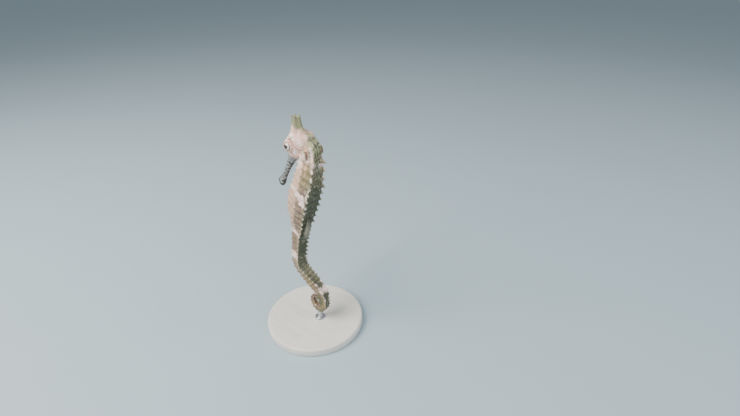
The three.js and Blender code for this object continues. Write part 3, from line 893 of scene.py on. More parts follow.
# Patches on the head, in millimetres from the mouth and millimetres up
HEAD_PATCHES: dict[Mark, Rows] = {
    Mark.BONE: (  # brow, crown, cheek and gill cover
        (32.6, 2.6, 1.3, 2.3), (29.4, 4.8, 1.8, 0.8, 0.9), (26, -1.6, 1.5, 1.3, 0.8),
        (34.2, -3, 1.5, 1.6, 0.55),
    ),
    # painted shade in the crease at the foot of the coronet
    Mark.SHADE: (  # at the foot of the coronet
        (34.4, 4.3, 0.25, 0.8, 0.6, 0.4),
    ),
    Mark.STREAK: (  # below the coronet and behind the brow
        (35.8, 2.6, 1.5, 1.7, 0.6), (31, 1.3, 0.5, 1.6, 0.7, -0.5),
    ),
    Mark.BAR: (  # pale arcs across the snout
        (1, 0.9, 0.27, 0.8, 1, 0.3, 0.5), (2.3, -0.7, 0.27, 0.8, 1, -0.5, -0.6),
        (3.2, 0.5, 0.27, 0.9, 1, 0.5, -0.4), (4.4, -0.2, 0.27, 1.2, 1, -0.2, 0.45),
        (5.6, 0.9, 0.27, 0.6, 1, 0.6, 0.3), (6.1, -0.9, 0.27, 0.7, 1, 0.1, -0.7),
        (7.2, 0.2, 0.27, 1.1, 1, 0.35, 0.5), (8.3, -0.7, 0.27, 0.6, 1, -0.6, 0.4),
        (8.7, 0.9, 0.27, 0.7, 1, -0.3, -0.6), (10, -0.1, 0.27, 1.3, 1, -0.1, -0.4),
        (11.2, 0.9, 0.27, 0.6, 1, 0.5, 0.5), (11.6, -0.9, 0.27, 0.7, 1, 0.4, 0.6),
        (12.8, 0.3, 0.27, 1.1, 1, -0.35, 0.45), (14, -0.8, 0.27, 0.7, 1, 0.2, -0.6),
        (14.4, 0.9, 0.27, 0.7, 1, 0.5, 0.4), (15.8, -0.1, 0.27, 1.5, 1, 0.15, -0.35),
        (17.3, 0.8, 0.27, 0.9, 1, -0.3, 0.5), (18, -1, 0.27, 0.8, 1, 0.4, 0.4),
    ),
}


def lay_patches(
    marks: dict[Mark, Array], patches: dict[Mark, Rows], along: Array, over: Array, where: Array
) -> None:
    """Adds patches to the markings, only where they belong; the stronger of the two holds.

    Args:
        marks: the markings, changed in place.
        patches: rows of a Patch's values, by marking.
        along: the points' first coordinate.
        over: their second coordinate.
        where: from 0 to 1, where on the skin these patches belong.
    """
    for mark, rows in patches.items():
        for row in rows:
            marks[mark] = np.maximum(marks.get(mark, 0.0), where * Patch(*row).cover(along, over))


@dataclass
class Places:
    """Where points of the skin lie: on the body, in its rings, on the head and round the eye."""

    s: Array
    turn: Array
    side: Array
    phase: Array
    along: Array
    up: Array
    head: Array
    crown: Array
    eye_far: Array
    eye_turn: Array
    gill_front: Array


@dataclass
class Skin:
    """One closed skin over the whole animal, with its markings kept on its points."""

    body: RingedBody
    head: Head
    coronet: Coronet
    voxel: float = 0.275
    easing_rounds: int = 8
    easing: float = 0.07
    joint_easing: float = 0.5
    hoop_rise: float = 0.12
    groove_depth: float = 0.13
    eye_folds: int = 13
    eye_fold_depth: float = 0.08
    gill_groove_depth: float = 0.42
    gill_hinge: Pair = (30.2, -0.6)
    gill_folds: int = 22
    gill_fold_depth: float = 0.1
    jaw_depth: float = 0.22
    nostril: Pair = (23.0, 2.3)
    nostril_depth: float = 0.45
    back_edge: Rows = (
        (0, 26), (6, 30), (10, 25), (14, 20), (16, 10), (17.5, 14), (19.5, 24), (25, 27),
        (30, 32), (40, 36), (56, 33), (60, 26), (64, 36), (78, 40), (102, 38), (116, 38), (126, 20),
    )
    back_strength: Rows = (
        (0, 0.4), (5, 0.6), (15, 0.65), (18, 0.48), (26, 0.6), (31, 0.95), (56, 1), (59, 0.85),
        (64, 1), (75, 1), (79, 0.7), (84, 0.75), (94, 0.65), (102, 0.85), (107, 1), (114, 1),
        (119, 0.6), (130, 0.2),
    )
    belly_strength: Rows = ((0, 1), (33, 1), (40, 0.68), (52, 0.55), (60, 0.4), (66, 0.1))

    NODES = (
        "snout", "head", "coronet", "gill_cover_left", "gill_cover_right", "neck", "trunk_upper",
        "trunk_lower", "tail_upper", "tail_middle", "tail_curl", "tail_tip",
    )

    def build(self) -> Piece:
        """Melts the surfaces together with a voxel remesh and eases the joint of the neck.

        Returns:
            The skin.
        """
        parts = [self.body.surface(), self.body.spines(), *self.head.surfaces(), self.coronet.surface()]
        raw = Surface.joined(parts).mesh_object("raw_flesh", scale=1.0)
        remesh = raw.modifiers.new("melt", "REMESH")
        remesh.mode = "VOXEL"
        remesh.voxel_size = self.voxel
        graph = bpy.context.evaluated_depsgraph_get()
        mesh = bpy.data.meshes.new_from_object(raw.evaluated_get(graph))
        bpy.data.objects.remove(raw)
        points = np.empty(len(mesh.vertices) * 3)
        mesh.vertices.foreach_get("co", points)
        points = self.eased(mesh, points.reshape(-1, 3))
        points = self.carved(mesh, points)
        self.paint(mesh, points)
        mesh.vertices.foreach_set("co", (points * MM).ravel())
        mesh.shade_smooth()
        mesh.name = "seahorse_skin"
        return new_object("seahorse_skin", mesh)

    def headness(self, points: Array) -> Array:
        """Tells head from body: 1 on the head, 0 on the body, easing where they meet.

        A point's distance from the head's axis, in units of the head's radius there, is set
        against that from the backbone in units of the body's.

        Args:
            points: the points.

        Returns:
            A value from 0 to 1 for each.
        """
        along, up, side = self.head.measure(points)
        inside = np.clip(along, 0.0, self.head.length)
        reach = np.where(up > 0, self.head.top(inside), self.head.bottom(inside))
        from_head = np.hypot(up / reach, side / self.head.half_width(inside))
        from_head = from_head + np.abs(along - inside) / 3.0
        middle, size = self.head.gill, self.head.gill_size
        at = np.stack([along, up, np.abs(side)], axis=-1)
        from_gill = np.linalg.norm((at - middle) / size, axis=-1)
        s, wide, out = self.body.backbone.locate(points, self.body.half_depth)
        from_body = np.hypot(out / self.body.half_depth(s), wide / self.body.half_width(s))
        before_nape, far = s < 2.0, 9.0
        nearer = np.where(before_nape, far, from_body) - np.minimum(from_head, from_gill)
        return smooth(nearer / 0.5 + 0.5)

    def eased(self, mesh: bpy.types.Mesh, points: Array) -> Array:
        """Moves each point part of the way to the middle of its neighbours, a few times.

        The joint of head and neck is eased wholly. The rest gets only a trace of it, which
        takes off the steps of the remesh and keeps the spines.

        Args:
            mesh: the mesh, for its edges.
            points: its points.

        Returns:
            The eased points.
        """
        edges = np.empty(len(mesh.edges) * 2, dtype=np.int64)
        mesh.edges.foreach_get("vertices", edges)
        a, b = edges.reshape(-1, 2).T
        count = np.bincount(np.concatenate([a, b]), minlength=len(points))[:, None]
        headness = self.headness(points)
        joint = (4 * headness * (1 - headness))[:, None]
        for _ in range(self.easing_rounds):
            total = np.zeros_like(points)
            for axis in range(3):
                total[:, axis] = np.bincount(a, points[b, axis], len(points))
                total[:, axis] += np.bincount(b, points[a, axis], len(points))
            points = mix(points, total / count, self.easing + self.joint_easing * joint)
        return points

    def places(self, points: Array) -> Places:
        """Works out where the points lie on the body and on the head, once for all uses.

        Args:
            points: the points.

        Returns:
            Their places.
        """
        body = self.body
        s, wide, out = body.backbone.locate(points, body.half_depth)
        turn = np.degrees(np.arctan2(np.abs(wide) / body.half_width(s), out / body.half_depth(s)))
        ring = np.clip(np.searchsorted(body.ring_start, s, side="right") - 1, 0, None)
        phase = np.clip((s - body.ring_start[ring]) / body.ring_length[ring], 0, 1)
        along, up, _ = self.head.measure(points)
        crown_foot = 121.6 - 0.42 * points[:, 1]
        crown = smooth((points[:, 2] - crown_foot + 1.2) / 2.4) * band(points[:, 1], -7.0, 4.0, 0.8)
        from_eye = polar(along - self.head.eye[0], up - self.head.eye[1])
        gill_front = 29.6 + 0.03 * (up + 1.5) ** 2
        head = self.headness(points)
        return Places(s, turn, np.sign(wide), phase, along, up, head, crown, *from_eye, gill_front)

    def ringing(self, at: Places) -> Array:
        """Tells how plainly the rings show: wholly on the back and tail, less on the flanks."""
        return 1 - 0.6 * smooth((at.turn - 56) / 34) * (at.s < 60)

    def carved(self, mesh: bpy.types.Mesh, points: Array) -> Array:
        """Cuts the finer relief by moving each point along its normal.

        Hoops are narrow bells at the middle of each ring and grooves lie where rings meet. On
        the head a groove runs down the front of the gill cover, folds fan out from the eye and
        from the gill cover's hinge, and a pit is the nostril.

        Args:
            mesh: the mesh, for its normals.
            points: its points.

        Returns:
            The carved points.
        """
        mesh.vertices.foreach_set("co", points.ravel())
        mesh.update()
        normals = np.empty(points.size)
        mesh.vertex_normals.foreach_get("vector", normals)
        at = self.places(points)
        size = 0.25 + self.body.half_width(at.s) / 8
        hoops = self.hoop_rise * hump(at.phase, 0.5, 0.11)
        rings = (hoops - self.groove_depth * hump(np.abs(at.phase - 0.5), 0.5, 0.09)) * self.ringing(at)
        raise_body = (1 - at.head) * (1 - at.crown) * size * rings
        folds = np.cos(self.eye_folds * at.eye_turn + 0.8 * np.sin(3 * at.eye_turn))
        folds = self.eye_fold_depth * folds * band(at.eye_far, 3.0, 4.6, 0.9)
        groove = hump(at.along, at.gill_front, 0.5) * band(at.up, -5.6, 1.4, 0.8)
        far, turn = polar(at.along - self.gill_hinge[0], at.up - self.gill_hinge[1])
        fan = self.gill_fold_depth * np.cos(self.gill_folds * turn) * band(far, 1.8, 5.4, 1.0)
        jaw = hump(at.up, -1.3 - 0.25 * (at.along - 20), 0.35) * band(at.along, 18.5, 25.0, 1.5)
        pit = hump(np.hypot(at.along - self.nostril[0], at.up - self.nostril[1]), 0.0, 0.42)
        relief = folds - self.gill_groove_depth * groove + fan * (at.along > at.gill_front)
        relief = relief - self.jaw_depth * jaw - self.nostril_depth * pit
        raise_head = at.head * (1 - at.crown) * relief
        return points + normals.reshape(-1, 3) * (raise_body + raise_head)[:, None]

    def paint(self, mesh: bpy.types.Mesh, points: Array) -> None:
        """Keeps each marking on the mesh as an attribute."""
        marks = self.markings(self.places(points)).items()
        keep_on_points(mesh, {mark.value: np.clip(value, 0.0, 1.0) for mark, value in marks})

    def markings(self, at: Places) -> dict[Mark, Array]:
        """Works out every marking, a value from 0 to 1 at each point.

        Most are patches. The dark back, the pale belly, the ridges' pale tubercles and the painted
        shade in the grooves between rings follow the body's whole length. Flecks and spots are where
        two slanting waves meet, and streaks fan out from the eye.

        Args:
            at: the places of the points.

        Returns:
            The markings' values at the points.
        """
        s, turn, phase = at.s, at.turn, at.phase
        skin = (1 - at.head) * (1 - at.crown)
        edge, strength = through(self.back_edge, s), through(self.back_strength, s)
        across = turn * at.side
        spots = np.sin(s * 2.2 + across * 0.1 + np.sin(across * 0.13)) * np.sin(across * 0.17 - s * 0.9)
        spots = mix(1.0, 0.45 + 1.0 * smooth((spots + 0.3) / 0.7), band(s, 3.0, 28.0, 1.5))
        back = strength * spots * (1 - smooth((turn - edge + 4) / 8))
        belly = through(self.belly_strength, s) * smooth((turn - 66) / 26)
        flecks = np.sin(s * 3.4 + across * 0.13) * np.sin(across * 0.27 - s * 1.3)
        flecks = smooth((flecks - 0.45) / 0.35)
        speckled = np.maximum(band(s, 4, 16, 2) * (turn < 34), 0.9 * band(s, 80, 93, 2))
        speckled = np.maximum(speckled, 0.6 * band(s, 17, 30, 2) * (turn < 30))

        ridge = mix(32.0, 43.0, smooth((s - 56) / 8))
        beads = np.maximum.reduce(
            [0.85 * hump(turn, ridge, 5), 0.7 * hump(turn, 85, 6) * (s < 58), 0.6 * hump(turn, 137, 7)]
        )
        head = at.head * (1 - at.crown)
        snout = at.head * (1 - smooth((at.along - 20.8) / 2.2))
        streaks = smooth((np.cos(9 * at.eye_turn + 1.4 * np.sin(2.1 * at.eye_far)) - 0.35) / 0.6)
        near_eye = band(at.eye_far, 2.6, 3.9, 1.3) * (0.55 + 0.45 * np.cos(at.eye_turn - 0.4) ** 2)
        # painted shade: a line in the crease before the gill cover, and a ring where the eyeball meets
        # its socket
        gill_crease_shade = 0.8 * hump(at.along, at.gill_front - 0.1, 0.55) * band(at.up, -5.6, 1.4, 0.8)
        rim = band(at.eye_far, 1.2, 2.05, 0.35)
        marks = {
            Mark.DUN: 1 - smooth((turn - edge - 3) / 8),
            Mark.BACK: back,
            Mark.ROSE: belly,
            Mark.FLECK: flecks * speckled,
            Mark.GREEN: band(s, 3, 12, 2) * (1 - smooth((turn - 34) / 10)),
            Mark.HOOP: beads * hump(phase, 0.5, 0.16),
            # painted shade in the grooves where rings meet
            Mark.GROOVE: self.ringing(at) * hump(np.abs(phase - 0.5), 0.5, 0.12),
        }
        marks = {mark: skin * value for mark, value in marks.items()}
        lay_patches(marks, BODY_PATCHES, s, turn, skin)
        marks |= {
            Mark.HEAD: head,
            Mark.SHADE: head * np.maximum(gill_crease_shade, rim),
            Mark.STREAK: head * streaks * near_eye,
            Mark.SNOUT: snout,
            Mark.DUSK: snout * (1 - smooth((at.along - 16.5) / 3.5)),
            Mark.CROWN: at.crown,
            Mark.BACK: np.maximum(marks[Mark.BACK], 0.36 * at.crown),
        }
        lay_patches(marks, HEAD_PATCHES, at.along, at.up, head)
        return marks


# ------ eyes and fins


@dataclass
class Eye:
    """An eyeball with its iris and pupil, its clear front standing a little proud."""

    head: Head
    side: Side
    glance: Triple = (0.98, -0.1, 0.1)
    ball: float = 0.985
    cornea: float = 0.05

    def build(self) -> Piece:
        """Makes a ball whose rounds circle the line of sight.

        The radius is the eyeball's, plus a bell of the cornea's share round the line of
        sight. Each point keeps its tilt from the line of sight and its turn about it.

        Returns:
            The eye.
        """
        name = f"eye_{self.side.name.lower()}"
        middle = self.head.place(*self.head.eye[:2], self.side * self.head.eye[2])
        sight = unit(np.array(self.glance) * [float(self.side), 1.0, 1.0])
        tilt = np.concatenate([[0.01], np.linspace(0.05, math.pi - 0.05, 46), [math.pi - 0.01]])
        turn = circle(64)
        radius = self.head.eye_radius * (self.ball + self.cornea * hump(tilt, 0.0, 0.55))[:, None, None]
        around = circle_about(sight[None], 64)
        ray = sight * np.cos(tilt)[:, None, None] + around * np.sin(tilt)[:, None, None]
        eye = Surface.tubes(middle + ray * radius).mesh_object(name + "_ball")
        tilts = np.concatenate([np.repeat(tilt, len(turn)), [0.0, math.pi]])
        turns = np.concatenate([np.tile(turn, len(tilt)), [0.0, 0.0]])
        keep_on_points(eye.data, {"tilt": tilts, "turn_x": np.cos(turns), "turn_y": np.sin(turns)})
        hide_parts(name)
        return eye


@dataclass
class RayFin:
    """A thin fin: a membrane between a root line and a free edge, stiffened by soft rays."""

    name: str
    node: str
    root: Array
    edge: Array
    across: Array
    rays: int
    membrane: float = 0.11
    ray_height: float = 0.13
    ripple: float = 0.25

    def build(self) -> Piece:
        """Makes the membrane's two faces as one closed tube of rounds, one round a column.

        A column runs from the root to the edge and back. Its half thickness is the
        membrane's, plus a narrow bell at each ray, and thins towards the edge. The edge is
        drawn in between the rays, and the whole membrane ripples by a sine.

        Returns:
            The fin.
        """
        columns = self.rays * 8 + 1
        t = np.linspace(0, 1, columns)
        place = np.linspace(0, 1, len(self.root))
        root, edge, across = (
            np.stack([np.interp(t, place, line[:, c]) for c in range(3)], axis=-1)
            for line in (self.root, self.edge, self.across)
        )
        wave = t * self.rays * 2 * math.pi
        reach = 1 - 0.05 * (0.5 - 0.5 * np.cos(wave))
        v = np.linspace(0, 1, 15)
        sheet = root[:, None] + (edge - root)[:, None] * (v * reach[:, None])[..., None]
        on_ray = np.clip(np.cos(wave), 0, 1)[:, None] ** 6
        half = (self.membrane + self.ray_height * on_ray * (1 - 0.7 * v)) * (1 - 0.6 * v**4)
        wobble = self.ripple * np.sin(wave / self.rays * 2.3)[:, None] * v**2
        front = sheet + across[:, None] * (wobble + half)[..., None]
        behind = sheet + across[:, None] * (wobble - half)[..., None]
        fin = Surface.tubes(np.concatenate([front, behind[:, ::-1]], axis=1)).mesh_object(self.name)
        ray = np.concatenate([np.repeat(on_ray, 30, axis=1).ravel(), [0.0, 0.0]])
        span = np.concatenate([np.tile(np.concatenate([v, v[::-1]]), columns), [0.5, 0.5]])
        keep_on_points(fin.data, {"ray": ray, "span": span})
        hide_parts(self.node)
        return fin


@dataclass
class Fins:
    """The fin of the back, the tiny fin under the trunk's end and the two of the cheeks."""

    body: RingedBody
    dorsal_from: float = 50.0
    dorsal_to: float = 61.5
    dorsal_height: float = 4.6
    anal_at: float = 59.0
    anal_height: float = 2.2
    pectoral_at: float = 11.4
    pectoral_foot: Pair = (4.45, -0.9)
    pectoral_reach: float = 4.3
    pectoral_spread: float = 50.0
    pectoral_flare: float = 10.0

    def dorsal(self) -> RayFin:
        """Fans the fin of the back over the end of the trunk, leaning towards the tail.

        Returns:
            The fin.
        """
        t = np.linspace(0, 1, 40)
        s = mix(self.dorsal_from, self.dorsal_to, t)
        deep = self.body.half_depth(s)
        height = self.dorsal_height * np.sin(math.pi * mix(0.12, 0.86, t)) ** 0.7
        line = self.body.backbone
        root = line.beside(s, 0.0, deep * 0.7)
        edge = line.beside(s + mix(-1.2, 2.2, t), 0.0, deep * 0.87 + height)
        across = line.beside(s, 1.0, 0.0) - line.beside(s, 0.0, 0.0)
        return RayFin("dorsal_fin_membrane", "dorsal_fin", root, edge, across, 16)

    def anal(self) -> RayFin:
        """Sets the tiny fin below the trunk's end.

        Returns:
            The fin.
        """
        t = np.linspace(-1, 1, 12)
        deep = self.body.half_depth(np.array(self.anal_at)) * 0.8
        line, s = self.body.backbone, self.anal_at + t
        root = line.beside(self.anal_at + 0.6 * t, 0.0, 1.0 - deep)
        edge = line.beside(self.anal_at + 0.2 + 1.15 * t, 0.0, 0.5 * t * t - deep - self.anal_height)
        across = line.beside(s, 1.0, 0.0) - line.beside(s, 0.0, 0.0)
        return RayFin("anal_fin_membrane", "anal_fin", root, edge, across, 4, ripple=0.05)

    def pectoral(self, side: Side) -> RayFin:
        """Fans the fin of the cheek backwards from just behind the gill cover.

        Args:
            side: the side of the animal.

        Returns:
            The fin.
        """
        fan = np.radians(np.linspace(-self.pectoral_spread, self.pectoral_spread, 30))
        flare = math.radians(self.pectoral_flare)
        at = np.array(self.pectoral_at)
        line = self.body.backbone
        foot = line.beside(at, side * self.pectoral_foot[0], self.pectoral_foot[1])
        tip = -float(line.heading(at)) * 0.5
        ahead = np.array([side * math.sin(flare), math.cos(flare) * math.cos(tip), math.sin(tip)])
        upward = np.array([0.0, -math.sin(tip), math.cos(tip)])
        ahead, upward = line.turned(at, ahead), line.turned(at, upward)
        across = unit(np.cross(ahead, upward))
        reach = self.pectoral_reach * (1 - 0.12 * np.abs(np.sin(fan)))
        rays = np.cos(fan)[:, None] * ahead + np.sin(fan)[:, None] * upward
        root = foot + rays * 0.5 + upward * np.sin(fan)[:, None] * 1.0
        edge = foot + rays * reach[:, None]
        sheet = np.tile(across, (30, 1))
        name = f"pectoral_fin_{side.name.lower()}"
        return RayFin(name + "_membrane", name, root, edge, sheet, 12, ripple=0.12)


# ------ the stand


@dataclass
class DisplayStand:
    """A flat round base and one short rod that the curl of the tail rests on."""

    body: RingedBody
    radius: float = 28.0
    thickness: float = 5.0
    edge: float = 1.2
    rod_radius: float = 1.25
    foot_radius: float = 3.0
    foot_height: float = 1.0

    def base(self) -> Piece:
        """Turns the disc: a small chamfer below, a quarter round above.

        Returns:
            The base.
        """
        corner = np.linspace(0, math.pi / 2, 9)[:, None]
        wide, top, rim = self.radius, self.thickness, self.radius - self.edge
        quarter = (rim, top - self.edge) + self.edge * np.hstack([np.cos(corner), np.sin(corner)])
        under = [(0.01, 0.0), (12.0, 0.0), (wide - 0.8, 0.0), (wide - 0.5, 0.1)]
        side = [(wide - 0.1, 0.5), (wide, 0.9), (wide, 2.4)]
        over = [(rim - 0.3, top), (14.0, top), (0.01, top)]
        profile = np.vstack([under, side, quarter, over])
        piece = lathe(profile, (0.0, 0.0), 192).mesh_object("stand_base_disc")
        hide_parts("stand_base")
        return piece

    def rod(self) -> Piece:
        """Turns the rod with its foot and a small collar just under the tail.

        Returns:
            The rod.
        """
        spine = self.body.backbone
        lowest = int(np.argmin(np.where(spine.s > spine.curl_start, spine.z, 1e9)))
        deep = float(self.body.half_depth(spine.s[lowest]))
        top = spine.z[lowest] - deep
        floor, foot = self.thickness, self.foot_radius
        rim = floor + self.foot_height
        profile = np.array(
            [
                (0.01, floor - 0.2), (foot, floor - 0.2), (foot, floor + 0.45),
                (foot - 0.1, rim - 0.25), (foot - 0.35, rim - 0.05), (foot - 0.7, rim), (1.75, rim),
                (1.45, rim + 0.12), (self.rod_radius, rim + 0.45), (self.rod_radius, top - 1.1),
                (1.4, top - 0.75), (1.55, top - 0.45), (1.5, top - 0.1), (1.3, top + 0.25),
                (0.9, top + 0.5), (0.01, top + 0.55),
            ]
        )
        piece = lathe(profile, (0.0, float(spine.y[lowest])), 64).mesh_object("stand_rod_pin")
        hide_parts("stand_rod")
        return piece


# ------ finishes


def linear(colour: str) -> tuple[float, ...]:
    """Turns six hex digits of sRGB into linear red, green, blue and an alpha of 1.

    Args:
        colour: the digits, without a sign before them.

    Returns:
        The four values.
    """
    values = [int(colour[i : i + 2], 16) / 255 for i in (0, 2, 4)]
    red, green, blue = (v / 12.92 if v <= 0.04045 else ((v + 0.055) / 1.055) ** 2.4 for v in values)
    return red, green, blue, 1.0


def set_values(node: bpy.types.Node, values: Inputs) -> None:
    """Stores constants on a node, by property name or by input, and links sockets to inputs.

    Args:
        node: the node.
        values: the constants and output sockets.
    """
    for key, value in values.items():
        if isinstance(value, bpy.types.NodeSocket):
            node.id_data.links.new(value, node.inputs[key])
        elif isinstance(key, str) and hasattr(node, key):
            setattr(node, key, value)
        else:
            node.inputs[key].default_value = value


def add_node(tree: Tree, kind: str, values: Inputs) -> bpy.types.Node:
    """Adds one node of a kind to a tree and sets its values.

    Args:
        tree: the tree.
        kind: the node's type name.
        values: what set_values takes.

    Returns:
        The node.
    """
    node = tree.nodes.new(kind)
    set_values(node, values)
    return node


def attribute(tree: Tree, name: str) -> Socket:
    """Reads a value that was kept on the mesh's points."""
    return add_node(tree, "ShaderNodeAttribute", {"attribute_name": name}).outputs["Fac"]


def noise(tree: Tree, values: Inputs) -> Socket:
    """Adds a noise and gives its height, from 0 to 1."""
    return add_node(tree, "ShaderNodeTexNoise", values).outputs["Fac"]


def grain(tree: Tree, size_mm: float, detail: float = 3.0) -> Socket:
    """Adds a noise whose features are about the given size, on Object coordinates.

    Args:
        tree: the tree.
        size_mm: the size.
        detail: how many finer noises lie on it.

    Returns:
        The noise's height.
    """
    place = add_node(tree, "ShaderNodeTexCoord", {}).outputs["Object"]
    scale = 1.0 / (size_mm * MM)
    return noise(tree, {"Vector": place, "Scale": scale, "Detail": detail, "Roughness": 0.6})


def stretched_noise(tree: Tree, scale: Triple, detail: float) -> Socket:
    """Adds a noise on Object coordinates that are stretched by a scale for each axis.

    Args:
        tree: the tree.
        scale: how many features a metre along x, y and z.
        detail: how many finer noises lie on it.

    Returns:
        The noise's height.
    """
    place = add_node(tree, "ShaderNodeTexCoord", {}).outputs["Object"]
    stretched = add_node(tree, "ShaderNodeMapping", {"Scale": scale, "Vector": place}).outputs[0]
    return noise(tree, {"Vector": stretched, "Scale": 1.0, "Detail": detail})


def math_node(tree: Tree, operation: str, *inputs: Value) -> Socket:
    """Does one sum, named by the operation, on its inputs."""
    values = {"operation": operation} | dict(enumerate(inputs))
    return add_node(tree, "ShaderNodeMath", values).outputs[0]


def remap(
    tree: Tree, value: Socket, start: Pair, end: Pair = (0.0, 1.0), easing: str = "LINEAR"
) -> Socket:
    """Takes a value from the start range to the end range, clipped; SMOOTHSTEP levels its ends."""
    values = {"interpolation_type": easing} | dict(enumerate((value, *start, *end)))
    return add_node(tree, "ShaderNodeMapRange", values).outputs[0]


def blend(tree: Tree, share: Value, first: Value, second: Value, mode: str = "MIX") -> Socket:
    """Goes from the first colour to the second by the share, or with MULTIPLY multiplies them."""
    values = {"data_type": "RGBA", "blend_type": mode, 0: share, 6: first, 7: second}
    return add_node(tree, "ShaderNodeMix", values).outputs[2]


def bump(tree: Tree, layers: list[tuple[Socket, float]]) -> Socket:
    """Stacks bumps, each a height from 0 to 1 and how many millimetres that is.

    Args:
        tree: the tree.
        layers: the bumps, the lowest first.

    Returns:
        The bent normal.
    """
    below = {}
    for height, depth in layers:
        values = {"Strength": 1.0, "Distance": depth * MM, "Height": height} | below
        below = {"Normal": add_node(tree, "ShaderNodeBump", values).outputs["Normal"]}
    return below["Normal"]


@dataclass(frozen=True)
class Finish:
    """What every finish has: a name and how glossy it is."""

    name: str
    roughness: float
    specular: float = 0.5

    def inputs(self, tree: Tree) -> Inputs:
        """Gives what the finish feeds to its Principled shader."""
        raise NotImplementedError

    def build(self) -> bpy.types.Material:
        """Makes the material: a Principled shader fed by the finish.

        Returns:
            The material.
        """
        material = bpy.data.materials.new(self.name)
        material.use_nodes = True
        tree = material.node_tree
        gloss = {"Roughness": self.roughness, "Specular IOR Level": self.specular}
        set_values(tree.nodes["Principled BSDF"], gloss | self.inputs(tree))
        return material


@dataclass(frozen=True)
class Marking:
    """One layer of colour: which marking it shows, its colour, and how ragged its edge is."""

    mark: Mark
    colour: str
    strength: float = 1.0
    ragged: float = 0.5
    sharp: float = 0.3


@dataclass(frozen=True)
class PaintedSkin(Finish):
    """Cast resin painted as live skin: matt, mottled, granular, pale on spines and hoops.

    Thin washes over a textured cast give soft-edged patches that break up into grains.
    """

    ground: str = "957F66"
    mottle: str = "6A5F50"
    layers: tuple[Marking, ...] = (
        Marking(Mark.ROSE, "D3AD96", 0.95, 1.1, 0.5),
        Marking(Mark.OLIVE, "8D7D54", 0.92, 0.8, 0.4),
        Marking(Mark.WARM, "E2B38D", 0.9, 0.6, 0.5),
        # umber streaks, and painted shade inside the curl
        Marking(Mark.UMBER, "745E53", 0.85, 1.0, 0.45),
        Marking(Mark.DUN, "857B60", 0.95, 0.6, 0.35),
        Marking(Mark.GREEN, "A9A67C", 0.95, 0.7, 0.4),
        Marking(Mark.CROWN, "9B9A74", 0.97, 0.7, 0.5),
        # the dark back, and painted shade on the curl
        Marking(Mark.BACK, "505440", 0.95, 0.9, 0.4),
        Marking(Mark.FLECK, "C2BE9E", 0.8, 1.1, 0.4),
        # painted shade in the ring grooves
        Marking(Mark.GROOVE, "5C5044", 0.4, 0.6, 0.5),
        # pale markings, and a painted highlight on the curl
        Marking(Mark.PALE, "F6DBCF", 0.95, 1.0, 0.4),
        Marking(Mark.HEAD, "F0C4B2", 1.0, 0.1, 0.5),
        Marking(Mark.BONE, "FFEDE4", 0.95, 0.8, 0.5),
        Marking(Mark.SNOUT, "8A8B8B", 1.0, 0.2, 0.5),
        Marking(Mark.DUSK, "4F5352", 0.95, 0.9, 0.4),
        Marking(Mark.BAR, "CFD0CB", 0.85, 1.1, 0.4),
        Marking(Mark.STREAK, "7A5A4C", 0.6, 0.9, 0.45),
        # painted shade in creases
        Marking(Mark.SHADE, "5E473D", 0.75, 0.6, 0.4),
        Marking(Mark.HOOP, "DDD2BF", 0.75, 0.6, 0.35),
    )

    def inputs(self, tree: Tree) -> Inputs:
        """Lays the washes one over another, breaks their edges, and adds the grain.

        Args:
            tree: the material's tree.

        Returns:
            What goes into the shader.
        """
        coarse, fine, grit = grain(tree, 3.2, 4.0), grain(tree, 0.9, 4.0), grain(tree, 0.35, 2.0)
        wash = blend(tree, remap(tree, coarse, (0.42, 0.68)), linear(self.ground), linear(self.mottle))
        tear = math_node(tree, "ADD", coarse, fine)
        for layer in self.layers:
            torn = math_node(tree, "MULTIPLY_ADD", tear, layer.ragged, attribute(tree, layer.mark.value))
            low = 0.5 + layer.ragged - layer.sharp
            cover = remap(tree, torn, (low, low + 2 * layer.sharp), (0.0, layer.strength), "SMOOTHSTEP")
            wash = blend(tree, cover, wash, linear(layer.colour))
        speck = remap(tree, fine, (0.3, 0.7), (0.72, 1.2))
        return {
            "Base Color": blend(tree, 1.0, wash, speck, "MULTIPLY"),
            "Roughness": remap(tree, fine, (0.0, 1.0), (self.roughness - 0.1, self.roughness + 0.12)),
            "Normal": bump(tree, [(fine, 0.16), (grit, 0.07)]),
        }


@dataclass(frozen=True)
class PolishedEye(Finish):
    """A polished resin eye: a black pupil, a gold line, a silvery iris with fine brown rays.

    The clear coat keeps the highlight sharp, which makes the eye look wet.
    """

    pupil: float = 0.52
    ray: str = "8A6A4C"

    def inputs(self, tree: Tree) -> Inputs:
        """Colours the ball by its tilt from the line of sight and gives it a clear coat.

        Args:
            tree: the material's tree.

        Returns:
            What goes into the shader.
        """
        tilt = attribute(tree, "tilt")
        ramp = add_node(tree, "ShaderNodeValToRGB", {0: math_node(tree, "DIVIDE", tilt, math.pi)})
        edge = self.pupil / math.pi
        stops = (
            (0.0, "050505"), (edge - 0.006, "050505"), (edge + 0.006, "A98A5C"), (0.19, "C9C0AE"),
            (0.23, "F4F1EC"), (0.3, "F0ECE5"), (0.335, "4E3D31"), (0.375, "B79684"),
        )
        for place, _ in stops[2:]:
            ramp.color_ramp.elements.new(place)
        for element, (place, colour) in zip(ramp.color_ramp.elements, stops):
            element.position = place
            element.color = linear(colour)
        turn = {0: attribute(tree, "turn_x"), 1: attribute(tree, "turn_y")}
        wheel = add_node(tree, "ShaderNodeCombineXYZ", turn).outputs[0]
        streaks = noise(tree, {"Vector": wheel, "Scale": 9.0, "Detail": 3.0})
        rays = remap(tree, streaks, (0.52, 0.7), (0.0, 0.4))
        clear = remap(tree, tilt, (self.pupil, self.pupil + 0.3))
        share = math_node(tree, "MULTIPLY", rays, clear)
        colour = blend(tree, share, ramp.outputs[0], linear(self.ray))
        return {"Base Color": colour, "Coat Weight": 1.0, "Coat Roughness": 0.04}


